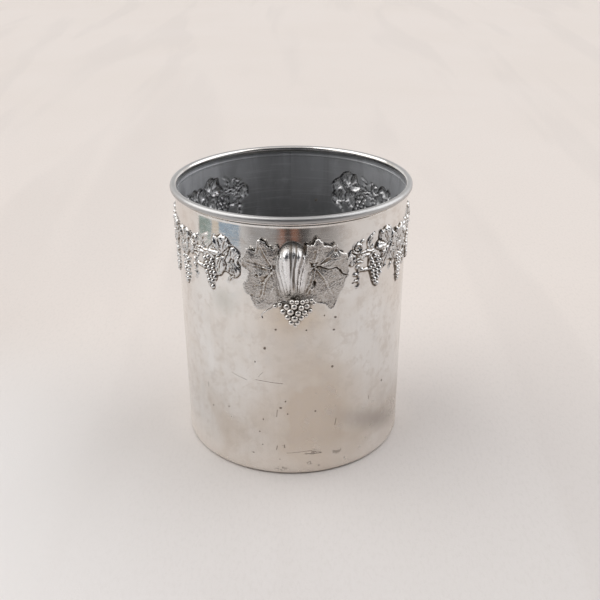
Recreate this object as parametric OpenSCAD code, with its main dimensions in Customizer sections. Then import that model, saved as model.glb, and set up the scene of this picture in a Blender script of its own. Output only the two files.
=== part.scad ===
// Champagne bucket with an embossed vine garland, a wired rim and two cast vine-leaf lugs.
// The axis of the bucket is Z, the base stands on z = 0 and the lugs face -Y and +Y.

/* [Bucket] */
// Overall height, to the top of the rim bead
height = 203; // [190:0.5:215]
// Outer radius of the wall just under the rim
wall_top_r = 84.9; // [83:0.1:87]
// Outer radius of the wall at the base
wall_base_r = 83.7; // [82:0.1:86]
// Thickness of the wall and floor sheet
sheet_t = 1.2; // [1:0.1:1.6]

/* [Rim] */
// Overall diameter over the rim bead
rim_d = 176.6; // [176:0.2:179]
// Diameter of the rolled bead
bead_d = 5; // [4.8:0.1:5.6]
// Diameter of the wire inside the bead
wire_d = 2.8; // [2.6:0.1:3]
// Distance from the top of the bead down to the swaged line
swage_drop = 6.9; // [6.4:0.1:9]

/* [Base] */
// Outside radius of the turn from the wall into the standing flange
turn_r = 2.6; // [2:0.1:4]
// Width of the flat standing flange under the floor
flange_w = 7; // [5:0.5:12]
// Height of the floor plate's turned-up edge
floor_lip_h = 5; // [4:0.5:8]
// Rise of the floor at its centre
floor_rise = 1.6; // [1:0.1:3]

/* [Handles] */
// Thickness of the leaf castings
leaf_t = 2; // [1.6:0.1:2.6]
// Furthest reach of a lug from the bucket's wall
lug_reach = 12.5; // [9:0.5:14]
// Thickness of the hollow lug
lug_t = 2; // [1.6:0.1:2.6]
// Radius of a grape in the bunches on the handles
grape_r = 2.1; // [1.9:0.05:2.3]
// Radius of the pins that hold the castings to the wall
pin_r = 1.4; // [1.2:0.1:1.8]

/* [Garland] */
// Radius of an embossed grape
berry_r = 1.5; // [1.3:0.05:1.7]

/* [Hidden] */
$fn = 96;

fit_gap = 0.05;        // radial room around wire and pins
seat_gap = 0.1;        // room between a casting or the floor and the wall it is fixed to
swage_r = 0.9;         // radius of the swaged line under the bead
mid_r = (wall_top_r + wall_base_r) / 2;
bead_r = bead_d / 2;
bead_z = height - bead_r;
bead_centre_r = rim_d / 2 - bead_r;
silver = [0.76, 0.75, 0.73];
pewter = [0.62, 0.62, 0.61];

// Outer radius of the wall at a height.
function wall_r(z) = wall_base_r + (wall_top_r - wall_base_r) * z / height;
// Angle around the bucket for an arc length along the wall.
function arc_deg(u) = u / mid_r * 180 / PI;
// Sideways position, seen from the front, of a point given by its arc length.
function flat_x(u) = mid_r * sin(arc_deg(u));
// A vertical position and arc length turned into a point of an outline seen from the front.
function flat(points) = [for (p = points) [flat_x(p[0]), p[1]]];

// Top edge of a handle casting: arc length from its centre line, height above the table.
handle_top = [
    [-36.4, 171], [-34.6, 172.8], [-32, 176.6], [-30.2, 180], [-27.4, 179], [-24.6, 182],
    [-22, 186.6], [-19.6, 184.6], [-15, 185.4], [-12.6, 182.4], [-10, 183.4], [-8, 184],
    [-6.5, 187.4], [-3, 190.4], [0, 191], [3, 190.4], [6.5, 187.4], [8, 184], [10, 184.6],
    [13, 185.2], [16, 188.6], [18.6, 185.6], [22, 184.8], [24.5, 182.8], [30.8, 182],
    [32.6, 177.6], [37.4, 174.8], [41.6, 170.4]
];
// Bottom edge of a handle casting.
handle_foot = [
    [-36.4, 169], [-34.8, 151], [-31, 147.8], [-28.6, 141.6], [-26, 138], [-21.6, 136.4],
    [-17, 138], [-13, 140.4], [-8, 142.6], [8, 142.6], [13, 141], [19, 138.2], [24.6, 135],
    [29, 136], [31, 140.4], [34.6, 146], [37.4, 151], [39.4, 158.6], [41.6, 169]
];
// The lug's reach at its centre line as part of lug_reach, for each height on the casting.
lug_rise = [
    [142.6, 0.1], [146, 0.26], [150, 0.42], [155, 0.6], [160, 0.74], [166, 0.88], [172, 0.97],
    [177, 1], [181, 1], [185, 0.92], [188, 0.74], [191, 0.52]
];
// Half the lug's width for each height.
lug_half = [
    [142.6, 5], [150, 9.6], [158, 12], [166, 12.4], [172, 11.4], [178, 10], [184, 9], [191, 9]
];
bunch_back = [[-9.6, 140.4], [9.8, 140.4], [8, 133], [1.6, 124.6], [-5.6, 132.4]];
// Each grape: arc length, height, and how far its centre stands off the bunch's backing.
bunch = [
    [-8, 138.6, 0.1], [-4.1, 137.9, 0.9], [-0.8, 140.2, 1.5], [3, 137.6, 1.7],
    [6.4, 140.2, 1.1], [8, 136.8, 0.4], [-5.6, 134.6, 0.3], [-0.6, 134.6, 1.6],
    [4.6, 133.8, 1.5], [-2.6, 131, 0.8], [1.6, 130.6, 1.3], [5.4, 130.2, 0.3],
    [-0.4, 127.4, 0.2], [3.2, 127, 0.3]
];
pins = [[-21, 158], [21, 158], [1, 134]];

// Starts of the garland's sprays, as arc length from the front, and of its hanging bunches.
spray_starts = [46, 103, 187.8];
hanging_starts = [92, 150, 174.5];
// The lobes of a spray: arc length from its start, height, radius, height above the wall.
spray_lobes = [
    [0, 176.3, 4.4, 1.2], [-5, 169, 4.2, 0.9], [26.4, 179.2, 5.6, 1.3], [31.2, 174.8, 4.8, 1.1],
    [27, 168.6, 5.4, 1.2], [29.8, 163.2, 4.6, 1], [38.4, 172, 4.4, 0.9], [37.4, 163.6, 4.6, 1.1]
];
spray_berries = [
    [12.4, 164], [16, 166.4], [19, 163.2], [14.2, 160.2], [17.6, 159], [13.4, 156],
    [20.4, 155.8], [16.8, 154.2], [18.6, 150.6], [17, 147]
];
// The lobes and grapes of a hanging bunch, from the arc length of its tip.
hanging_lobes = [[-5, 173.8, 5.4, 1.2], [3.4, 172.2, 4.6, 1], [-1.4, 165.6, 5.2, 1.1]];
hanging_berries = [
    [-2, 157], [1.6, 156.6], [-3, 153.6], [0.6, 152.8], [3, 150.6], [-1.4, 149.6], [1.2, 146.4],
    [-0.8, 143.2], [0.4, 140.2]
];

// A ring-shaped skin that follows the wall, from in to out beyond its outer face.
module wall_skin(in, out, low, high) {
    rotate_extrude($fn = 180) polygon([
        [wall_r(low) + in, low], [wall_r(low) + out, low],
        [wall_r(high) + out, high], [wall_r(high) + in, high]
    ]);
}

// The outline wrapped onto the wall, from in to out beyond its face.
module relief(points, in, out) {
    low = min([for (p = points) p[1]]) - 1;
    high = max([for (p = points) p[1]]) + 1;
    intersection() {
        wall_skin(in, out, low, high);
        translate([0, 1, 0]) rotate([90, 0, 0]) linear_extrude(110) polygon(flat(points));
    }
}

// Children placed on the wall's outer face, their -Y pointing away from the bucket.
module on_wall(u, z, stand = 0) {
    rotate([0, 0, arc_deg(u)]) translate([0, -wall_r(z) - stand, z]) children();
}

// A radial cylinder at a place on the wall, from in to out beyond its outer face.
module radial(u, z, r, in, out) {
    on_wall(u, z) translate([0, -in, 0]) rotate([90, 0, 0]) cylinder(r = r, h = out - in, $fn = 40);
}

// Section of the wall sheet: standing flange, turn, wall, swaged line and open bead.
module wall_section() {
    base_in = wall_base_r - turn_r;
    swage_z = height - swage_drop;
    translate([base_in - flange_w, 0]) square([flange_w, sheet_t]);
    intersection() {
        translate([base_in, turn_r]) difference() {
            circle(r = turn_r);
            circle(r = turn_r - sheet_t);
        }
        translate([base_in, 0]) square([turn_r, turn_r]);
    }
    polygon([
        [wall_base_r - sheet_t, turn_r], [wall_base_r, turn_r],
        [wall_top_r, bead_z - 1], [wall_top_r - sheet_t, bead_z - 1]
    ]);
    intersection() {
        translate([wall_top_r - swage_r + 0.6, swage_z]) circle(r = swage_r);
        translate([wall_top_r - sheet_t / 2, swage_z - swage_r]) square(2 * swage_r);
    }
    difference() {
        translate([bead_centre_r, bead_z]) circle(r = bead_r);
        translate([bead_centre_r, bead_z]) circle(r = wire_d / 2 + fit_gap);
        translate([wall_top_r + 0.1, bead_z - bead_r - 0.1]) square([0.35, bead_r]);
    }
}

// Raised lobes and grapes, their start at arc length u on the wall.
module ornament(u, lobes, berries) {
    rotate([0, 0, arc_deg(u)]) {
        for (p = lobes) radial(p[0], p[1], p[2], -sheet_t / 2, p[3]);
        for (p = berries) on_wall(p[0], p[1], 0.3) sphere(r = berry_r, $fn = 24);
    }
}

module wall() {
    color(silver) difference() {
        union() {
            rotate_extrude($fn = 180) wall_section();
            for (turn = [0, 180]) rotate([0, 0, turn]) {
                for (u = spray_starts) ornament(u, spray_lobes, spray_berries);
                for (u = hanging_starts) ornament(u, hanging_lobes, hanging_berries);
            }
        }
        rotate_extrude($fn = 180)
            translate([wall_top_r - sheet_t - 0.4, height - swage_drop]) circle(r = 0.7);
        for (turn = [0, 180], p = pins)
            rotate([0, 0, turn]) radial(p[0], p[1], pin_r + fit_gap, -sheet_t - 1, 1);
    }
}

// Pan-shaped floor that sits on the standing flange, its edge turned up along the wall.
module floor_plate() {
    edge_r = wall_base_r - sheet_t - seat_gap;
    dome_r = edge_r - 12;
    color(pewter) rotate_extrude($fn = 180) union() {
        polygon([
            [0, sheet_t + floor_rise], [dome_r - 8, sheet_t + floor_rise], [dome_r, sheet_t],
            [edge_r - turn_r, sheet_t], [edge_r - turn_r, 2 * sheet_t], [dome_r, 2 * sheet_t],
            [dome_r - 8, 2 * sheet_t + floor_rise], [0, 2 * sheet_t + floor_rise]
        ]);
        translate([edge_r - turn_r, sheet_t + turn_r]) intersection() {
            difference() {
                circle(r = turn_r);
                circle(r = turn_r - sheet_t);
            }
            translate([0, -turn_r]) square(turn_r);
        }
        translate([edge_r - sheet_t, sheet_t + turn_r]) square([sheet_t, floor_lip_h - turn_r]);
    }
}

module rim_wire() {
    color("dimgray") rotate_extrude($fn = 180)
        translate([bead_centre_r, bead_z]) circle(r = wire_d / 2, $fn = 32);
}

// How much of the lug is present at arc length u, from 1 on its centre line to 0.
function lug_part(u, t) =
    let (side = min(1, abs(u) / lookup(t, lug_half))) pow(1 - pow(side, 2.4), 0.8);
// Distance of the casting's face from the wall.
function reach(u, t) =
    seat_gap + leaf_t + (lug_reach - seat_gap - leaf_t) * lookup(t, lug_rise) * lug_part(u, t);
// Distance of the casting's back from the wall: the lug is hollow.
function inside(u, t) = max(seat_gap, reach(u, t) - max(leaf_t, lug_t * lug_part(u, t)));
// The head of the lug bows back towards the wall, so its last millimetres rise less.
function rise(u, t) = t - 4 * lug_part(u, t) * pow(max(0, t - 180) / 11, 2);
// A point at arc length u and height z, standing off the wall.
function wall_point(u, z, off) =
    [(wall_r(z) + off) * sin(arc_deg(u)), -(wall_r(z) + off) * cos(arc_deg(u)), z];

// A handle casting: one sheet with two vine leaves and the hollow lug between them.
module handle() {
    columns = 44;
    rows = 18;
    first = handle_top[0][0];
    last = handle_top[len(handle_top) - 1][0];
    us = [for (i = [0 : columns]) first + (last - first) * i / columns];
    grid = [for (u = us) [for (j = [0 : rows])
        [u, lookup(u, handle_foot) + (lookup(u, handle_top) - lookup(u, handle_foot)) * j / rows]
    ]];
    face = [for (line = grid) for (p = line)
        wall_point(p[0], rise(p[0], p[1]), reach(p[0], p[1]))];
    rear = [for (line = grid) for (p = line)
        wall_point(p[0], rise(p[0], p[1]), inside(p[0], p[1]))];
    count = len(face);
    step = rows + 1;
    loop = [
        for (j = [0 : rows - 1]) j,
        for (i = [0 : columns - 1]) i * step + rows,
        for (j = [rows : -1 : 1]) columns * step + j,
        for (i = [columns : -1 : 1]) i * step
    ];
    color(silver) polyhedron(
        points = concat(face, rear),
        faces = [
            for (i = [0 : columns - 1], j = [0 : rows - 1])
                let (a = i * step + j, b = a + step)
                for (f = [[a, a + 1, b + 1], [a, b + 1, b]]) f,
            for (i = [0 : columns - 1], j = [0 : rows - 1])
                let (a = count + i * step + j, b = a + step)
                for (f = [[a, b + 1, a + 1], [a, b, b + 1]]) f,
            for (k = [0 : len(loop) - 1])
                let (a = loop[k], b = loop[(k + 1) % len(loop)])
                for (f = [[a, a + count, b + count], [a, b + count, b]]) f
        ]
    );
}

// The bunch of grapes at the foot of a handle, on a thin backing.
module grapes() {
    color(silver) difference() {
        union() {
            relief(bunch_back, seat_gap, 2.6);
            for (g = bunch)
                on_wall(g[0], g[1], grape_r + 2 * seat_gap + g[2]) sphere(r = grape_r, $fn = 32);
        }
        radial(pins[2][0], pins[2][1], pin_r + fit_gap, -1, 1.4);
    }
}

// Two pins that end at the leaves' backs, and one that runs into the bunch.
module handle_pins() {
    color(pewter) {
        for (i = [0, 1]) radial(pins[i][0], pins[i][1], pin_r, -sheet_t, seat_gap);
        radial(pins[2][0], pins[2][1], pin_r, -sheet_t, 1.3);
    }
}

module back() {
    rotate([0, 0, 180]) children();
}

wall();
floor_plate();
rim_wire();
handle();  // front_handle
grapes();  // front_grapes
handle_pins();  // front_pins
back() handle();  // back_handle
back() grapes();  // back_grapes
back() handle_pins();  // back_pins
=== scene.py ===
"""Looks for the champagne bucket: embossed wall, cast vine-leaf handles, aged silver materials.

Lengths in the shape code are millimetres, and in the materials metres. A place on the wall is given
by u, the arc length from the front centre line towards +X, and z, the height above the table.
"""
import math

import bpy
import numpy as np
from mathutils import Matrix, Vector


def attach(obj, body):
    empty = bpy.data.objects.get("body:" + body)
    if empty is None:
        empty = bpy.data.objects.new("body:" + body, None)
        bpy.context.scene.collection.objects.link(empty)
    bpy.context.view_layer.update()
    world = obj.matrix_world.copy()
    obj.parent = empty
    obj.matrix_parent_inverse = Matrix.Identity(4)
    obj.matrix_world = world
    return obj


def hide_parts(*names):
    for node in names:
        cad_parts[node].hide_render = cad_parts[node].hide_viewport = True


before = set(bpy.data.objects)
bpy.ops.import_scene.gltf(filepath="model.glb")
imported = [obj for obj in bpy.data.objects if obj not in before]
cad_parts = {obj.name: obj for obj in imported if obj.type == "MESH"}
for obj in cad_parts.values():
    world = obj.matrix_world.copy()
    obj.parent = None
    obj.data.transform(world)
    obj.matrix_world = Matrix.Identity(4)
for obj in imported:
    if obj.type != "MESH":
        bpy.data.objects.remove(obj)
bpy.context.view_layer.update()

MM = 0.001

# ---------------------------------------------------------------- dimensions, as in the CAD
HEIGHT = 203.0
TOP_R, BASE_R = 84.9, 83.7
MID_R = (TOP_R + BASE_R) / 2
SHEET_T = 1.15
RIM_R = 88.3
BEAD_R = 2.5
TURN_R, FLANGE_W = 2.6, 7.0
LUG_REACH = 12.5
PAN_R = 82.4
HALF_TURN = math.pi * MID_R
# the garland's height range, and the arc length on each side of a handle's middle that has none
BAND_LOW, BAND_HIGH = 136.5, 188.0
BARE = 33.0
# the camera, fitted to the photograph's view: millimetres for the lens, metres and degrees
LENS = 52.956
CAMERA_AT = (0, -0.6215, 0.3968)
PITCH, YAW, ROLL = 25.249, -0.5515, -0.2623


def wall_r(z):
    return BASE_R + (TOP_R - BASE_R) * z / HEIGHT


def place(u, z, off=0.0):
    """Points in mm at arc length u and height z, standing off the wall's outer face."""
    r = wall_r(z) + off
    a = u / MID_R
    return np.stack([r * np.sin(a), -r * np.cos(a), z + np.zeros_like(a)], -1)


# ---------------------------------------------------------------- camera
def add_camera():
    p, w, r = (math.radians(v) for v in (PITCH, YAW, ROLL))
    right = Vector((math.cos(w), math.sin(w), 0))
    ahead = Vector((-math.sin(w), math.cos(w), 0))
    forward = math.cos(p) * ahead - math.sin(p) * Vector((0, 0, 1))
    up = math.sin(p) * ahead + math.cos(p) * Vector((0, 0, 1))
    x = math.cos(r) * right + math.sin(r) * up
    y = -math.sin(r) * right + math.cos(r) * up
    data = bpy.data.cameras.new("camera")
    data.sensor_width = 36
    data.lens = LENS
    data.clip_start, data.clip_end = 0.01, 50
    cam = bpy.data.objects.new("camera", data)
    bpy.context.scene.collection.objects.link(cam)
    m = Matrix((x, y, -forward)).transposed().to_4x4()
    m.translation = Vector(CAMERA_AT)
    cam.matrix_world = m
    bpy.context.scene.camera = cam


add_camera()


# ---------------------------------------------------------------- mesh helpers
def mesh_object(name, points, faces, material, attributes=None, sharp_deg=None):
    """A smooth-shaded object from points in mm; attributes are one number per point."""
    mesh = bpy.data.meshes.new(name)
    mesh.from_pydata((np.asarray(points) * MM).tolist(), [], [list(map(int, f)) for f in faces])
    mesh.validate()
    mesh.shade_smooth()
    if sharp_deg is not None:
        mesh.set_sharp_from_angle(angle=math.radians(sharp_deg))
    for key, values in (attributes or {}).items():
        layer = mesh.attributes.new(key, "FLOAT", "POINT")
        layer.data.foreach_set("value", np.asarray(values, dtype=np.float32))
    mesh.materials.append(material)
    obj = bpy.data.objects.new(name, mesh)
    bpy.context.scene.collection.objects.link(obj)
    return obj


def turned(points):
    """The same points on the opposite side of the bucket."""
    return np.asarray(points) * np.array([-1.0, -1.0, 1.0])


def ring_faces(rows, count):
    """Quads between neighbouring rings of count points each."""
    i = np.arange(rows - 1)[:, None] * count
    j = np.arange(count)[None, :]
    k = (j + 1) % count
    return np.stack([i + j, i + k, i + count + k, i + count + j], -1).reshape(-1, 4).tolist()


def closed_rings(rows, sides):
    """ring_faces with both ends closed to two pole points that come after the rings."""
    n = rows * sides
    faces = ring_faces(rows, sides)
    for k in range(sides):
        faces.append([n, (k + 1) % sides, k])
        faces.append([n + 1, n - sides + k, n - sides + (k + 1) % sides])
    return faces


def blurred(a, n):
    """A grid averaged over n cells each way."""
    for axis in (0, 1):
        pad = [(0, 0), (0, 0)]
        pad[axis] = (n, n)
        total = np.cumsum(np.pad(a, pad, mode="edge"), axis=axis)
        hi = np.take(total, np.arange(2 * n, total.shape[axis]), axis=axis)
        lo = np.take(total, np.arange(0, total.shape[axis] - 2 * n), axis=axis)
        a = (hi - lo) / (2 * n)
    return a


def smoothstep(low, high, x):
    t = np.clip((x - low) / (high - low), 0, 1)
    return t * t * (3 - 2 * t)


def spline(points, per=6, closed=False):
    """A smooth curve through the points, per samples to a span."""
    p = np.asarray(points, float)
    n = len(p)
    if closed:
        idx = [(np.arange(n) + k) % n for k in (-1, 0, 1, 2)]
    else:
        idx = [np.clip(np.arange(n - 1) + k, 0, n - 1) for k in (-1, 0, 1, 2)]
    a, b, c, d = (p[i][:, None, :] for i in idx)
    t = (np.arange(per) / per)[None, :, None]
    out = 0.5 * (2 * b + (c - a) * t + (2 * a - 5 * b + 4 * c - d) * t**2
                 + (3 * b - a - 3 * c + d) * t**3)
    out = out.reshape(-1, p.shape[1])
    return out if closed else np.vstack([out, p[-1:]])


def noise(u, z, cell, seed):
    """Smooth value noise from -1 to 1 over the wall, its grains about cell mm across."""
    rng = np.random.RandomState(seed)
    table = rng.uniform(-1, 1, (64, 64))
    x, y = u / cell + 17.3, z / cell + 5.1
    i, j = np.floor(x).astype(int), np.floor(y).astype(int)
    fx, fy = x - i, y - j
    fx, fy = fx * fx * (3 - 2 * fx), fy * fy * (3 - 2 * fy)
    n = [table[(i + a) % 64, (j + b) % 64] for a in (0, 1) for b in (0, 1)]
    return (n[0] * (1 - fx) * (1 - fy) + n[1] * (1 - fx) * fy
            + n[2] * fx * (1 - fy) + n[3] * fx * fy)


def along(u, z, line):
    """Distance to a polyline, and how far along it the nearest point is, 0 to 1."""
    line = np.asarray(line, float)
    seg = np.diff(line, axis=0)
    lengths = np.hypot(seg[:, 0], seg[:, 1])
    start = np.concatenate([[0], np.cumsum(lengths)])
    best = np.full(u.shape, 1e9)
    where = np.zeros(u.shape)
    for k in range(len(seg)):
        if lengths[k] < 1e-9:
            continue
        t = ((u - line[k, 0]) * seg[k, 0] + (z - line[k, 1]) * seg[k, 1]) / lengths[k] ** 2
        t = np.clip(t, 0, 1)
        d = np.hypot(u - line[k, 0] - t * seg[k, 0], z - line[k, 1] - t * seg[k, 1])
        near = d < best
        best = np.where(near, d, best)
        where = np.where(near, (start[k] + t * lengths[k]) / start[-1], where)
    return best, where


def inside_by(u, z, outline):
    """Distance inside a closed outline, negative outside."""
    p = np.asarray(outline, float)
    q = np.roll(p, -1, axis=0)
    d, _ = along(u, z, np.vstack([p, p[:1]]))
    odd = np.zeros(u.shape, bool)
    for (x0, y0), (x1, y1) in zip(p, q):
        if y0 == y1:
            continue
        crosses = (z < y0) != (z < y1)
        odd ^= crosses & (u < (x1 - x0) * (z - y0) / (y1 - y0) + x0)
    return np.where(odd, d, -d)


def leaf_relief(u, z, outline, stalk, veins, height, seed, ribs=9, fine=1.0, folds=0, ragged=0.0):
    """Distance inside a vine leaf and the height of its face: rim, lobes, folds, veins, grain.

    ribs are its soft lobes and folds its pleats, counted round the stalk; ragged roughens the edge.
    """
    d = inside_by(u, z, outline) + 0.18 * noise(u, z, 1.3, seed)
    d = d + ragged * noise(u, z, 2.3, seed + 7)
    body = height * (0.55 + 0.45 * (1 - np.exp(-np.maximum(d, 0) / 1.5)))
    body += 0.40 * fine * np.exp(-((d - 0.5) / 0.45) ** 2)
    away = np.hypot(u - stalk[0], z - stalk[1])
    turn = np.arctan2(z - stalk[1], u - stalk[0])
    wave = np.cos(ribs * turn + 1.3 * noise(u, z, 5.0, seed + 1))
    body += 0.27 * height * wave * smoothstep(2.5, 9, away) * smoothstep(0, 1.6, d)
    fan = np.abs(np.cos(folds / 2 * turn + 1.1 * noise(u, z, 4.0, seed + 8))) - 0.55
    body += 0.85 * fan * (folds > 0) * smoothstep(1.5, 4.5, away) * smoothstep(0, 0.7, d)
    for vein in veins:
        curve = spline([stalk] + list(vein), 5)
        dv, t = along(u, z, curve)
        fade = 1 - 0.6 * t
        body += fine * fade * (1.15 * np.exp(-(dv / 0.55) ** 2) - 0.65 * np.exp(-(dv / 1.5) ** 2))
    body += fine * 0.09 * noise(u, z, 0.9, seed + 3) + 0.22 * noise(u, z, 3.2, seed + 4)
    body -= 0.25 * height * np.exp(-(away / 0.9) ** 2)
    return d, body


# ---------------------------------------------------------------- the embossed garland
class Raster:
    """Heights of the embossing over one side of the bucket, painted shape by shape."""

    def __init__(self, u0, u1, z0, z1, step):
        self.u0, self.z0, self.step = u0, z0, step
        self.us = np.arange(u0, u1 + step / 2, step)
        self.zs = np.arange(z0, z1 + step / 2, step)
        self.u, self.z = np.meshgrid(self.us, self.zs, indexing="ij")
        self.h = np.zeros_like(self.u)

    def window(self, u0, u1, z0, z1):
        i0, i1 = np.searchsorted(self.us, [u0, u1])
        j0, j1 = np.searchsorted(self.zs, [z0, z1])
        return slice(max(i0 - 1, 0), i1 + 1), slice(max(j0 - 1, 0), j1 + 1)

    def put(self, win, d, height, gap=0.7):
        """Raise what is inside, and press a fine groove around it into what lies below."""
        h = self.h[win]
        groove = np.exp(-(np.minimum(d, 0) / gap) ** 2)
        h *= 1 - 0.85 * groove
        self.h[win] = np.where(d > 0, np.maximum(h, height), h)

    def ridge(self, line, width, height, taper=0.4):
        line = np.asarray(line, float)
        pad = width + 1.5
        win = self.window(line[:, 0].min() - pad, line[:, 0].max() + pad,
                          line[:, 1].min() - pad, line[:, 1].max() + pad)
        d, t = along(self.u[win], self.z[win], line)
        w = width * (1 - taper * t)
        self.put(win, w - d, height * (1 - 0.5 * taper * t)
                 * np.sqrt(np.clip(1 - (d / w) ** 2, 0, 1)) ** 0.8 + 0.15)

    def berry(self, u, z, r, height):
        pad = r + 1.2
        win = self.window(u - pad, u + pad, z - pad, z + pad)
        d = np.hypot(self.u[win] - u, self.z[win] - z)
        self.put(win, r - d, height * (0.25 + 0.75 * np.sqrt(np.clip(1 - (d / r) ** 2, 0, 1))),
                 gap=0.4)

    def leaf(self, outline, stalk, veins, height, seed, ribs=9, folds=22):
        outline = np.asarray(outline, float)
        pad = 2.0
        win = self.window(outline[:, 0].min() - pad, outline[:, 0].max() + pad,
                          outline[:, 1].min() - pad, outline[:, 1].max() + pad)
        curve = spline(outline, 4, closed=True)
        d, body = leaf_relief(self.u[win], self.z[win], curve, stalk, veins, height, seed, ribs,
                              folds=folds)
        self.put(win, d, np.maximum(body, 0.25))

    def soft(self, radius):
        """The heights blurred, as they show on the other side of the sheet."""
        out = self.h
        for _ in range(3):
            out = blurred(out, int(radius / self.step))
        return out

    def sample(self, grid, u, z):
        """Read a grid of this raster at any points; zero outside it."""
        x = (u - self.u0) / self.step
        y = (z - self.z0) / self.step
        ok = (x > 0) & (y > 0) & (x < len(self.us) - 1.01) & (y < len(self.zs) - 1.01)
        x, y = np.where(ok, x, 0), np.where(ok, y, 0)
        i, j = x.astype(int), y.astype(int)
        fx, fy = x - i, y - j
        v = (grid[i, j] * (1 - fx) * (1 - fy) + grid[i + 1, j] * fx * (1 - fy)
             + grid[i, j + 1] * (1 - fx) * fy + grid[i + 1, j + 1] * fx * fy)
        return np.where(ok, v, 0)


def shifted(points, u):
    return [(p[0] + u, p[1]) for p in points]


def coil(u, z, r, turns, start, shrink=0.8):
    """A flat spiral from its outer end inwards."""
    t = np.linspace(0, 1, int(18 * turns) + 2)
    a = start + turns * 2 * math.pi * t
    rr = r * (1 - shrink * t)
    return np.stack([u + rr * np.cos(a), z + rr * np.sin(a)], -1)


def painter(g, c):
    """Short calls that paint a ridge or a leaf on g, shifted to arc length c."""
    def ridge(points, width, height, taper=0.4):
        g.ridge(spline(shifted(points, c)), width, height, taper)

    def leaf(outline, stalk, veins, *rest):
        g.leaf(shifted(outline, c), (c + stalk[0], stalk[1]), [shifted(v, c) for v in veins], *rest)

    return ridge, leaf


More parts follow.
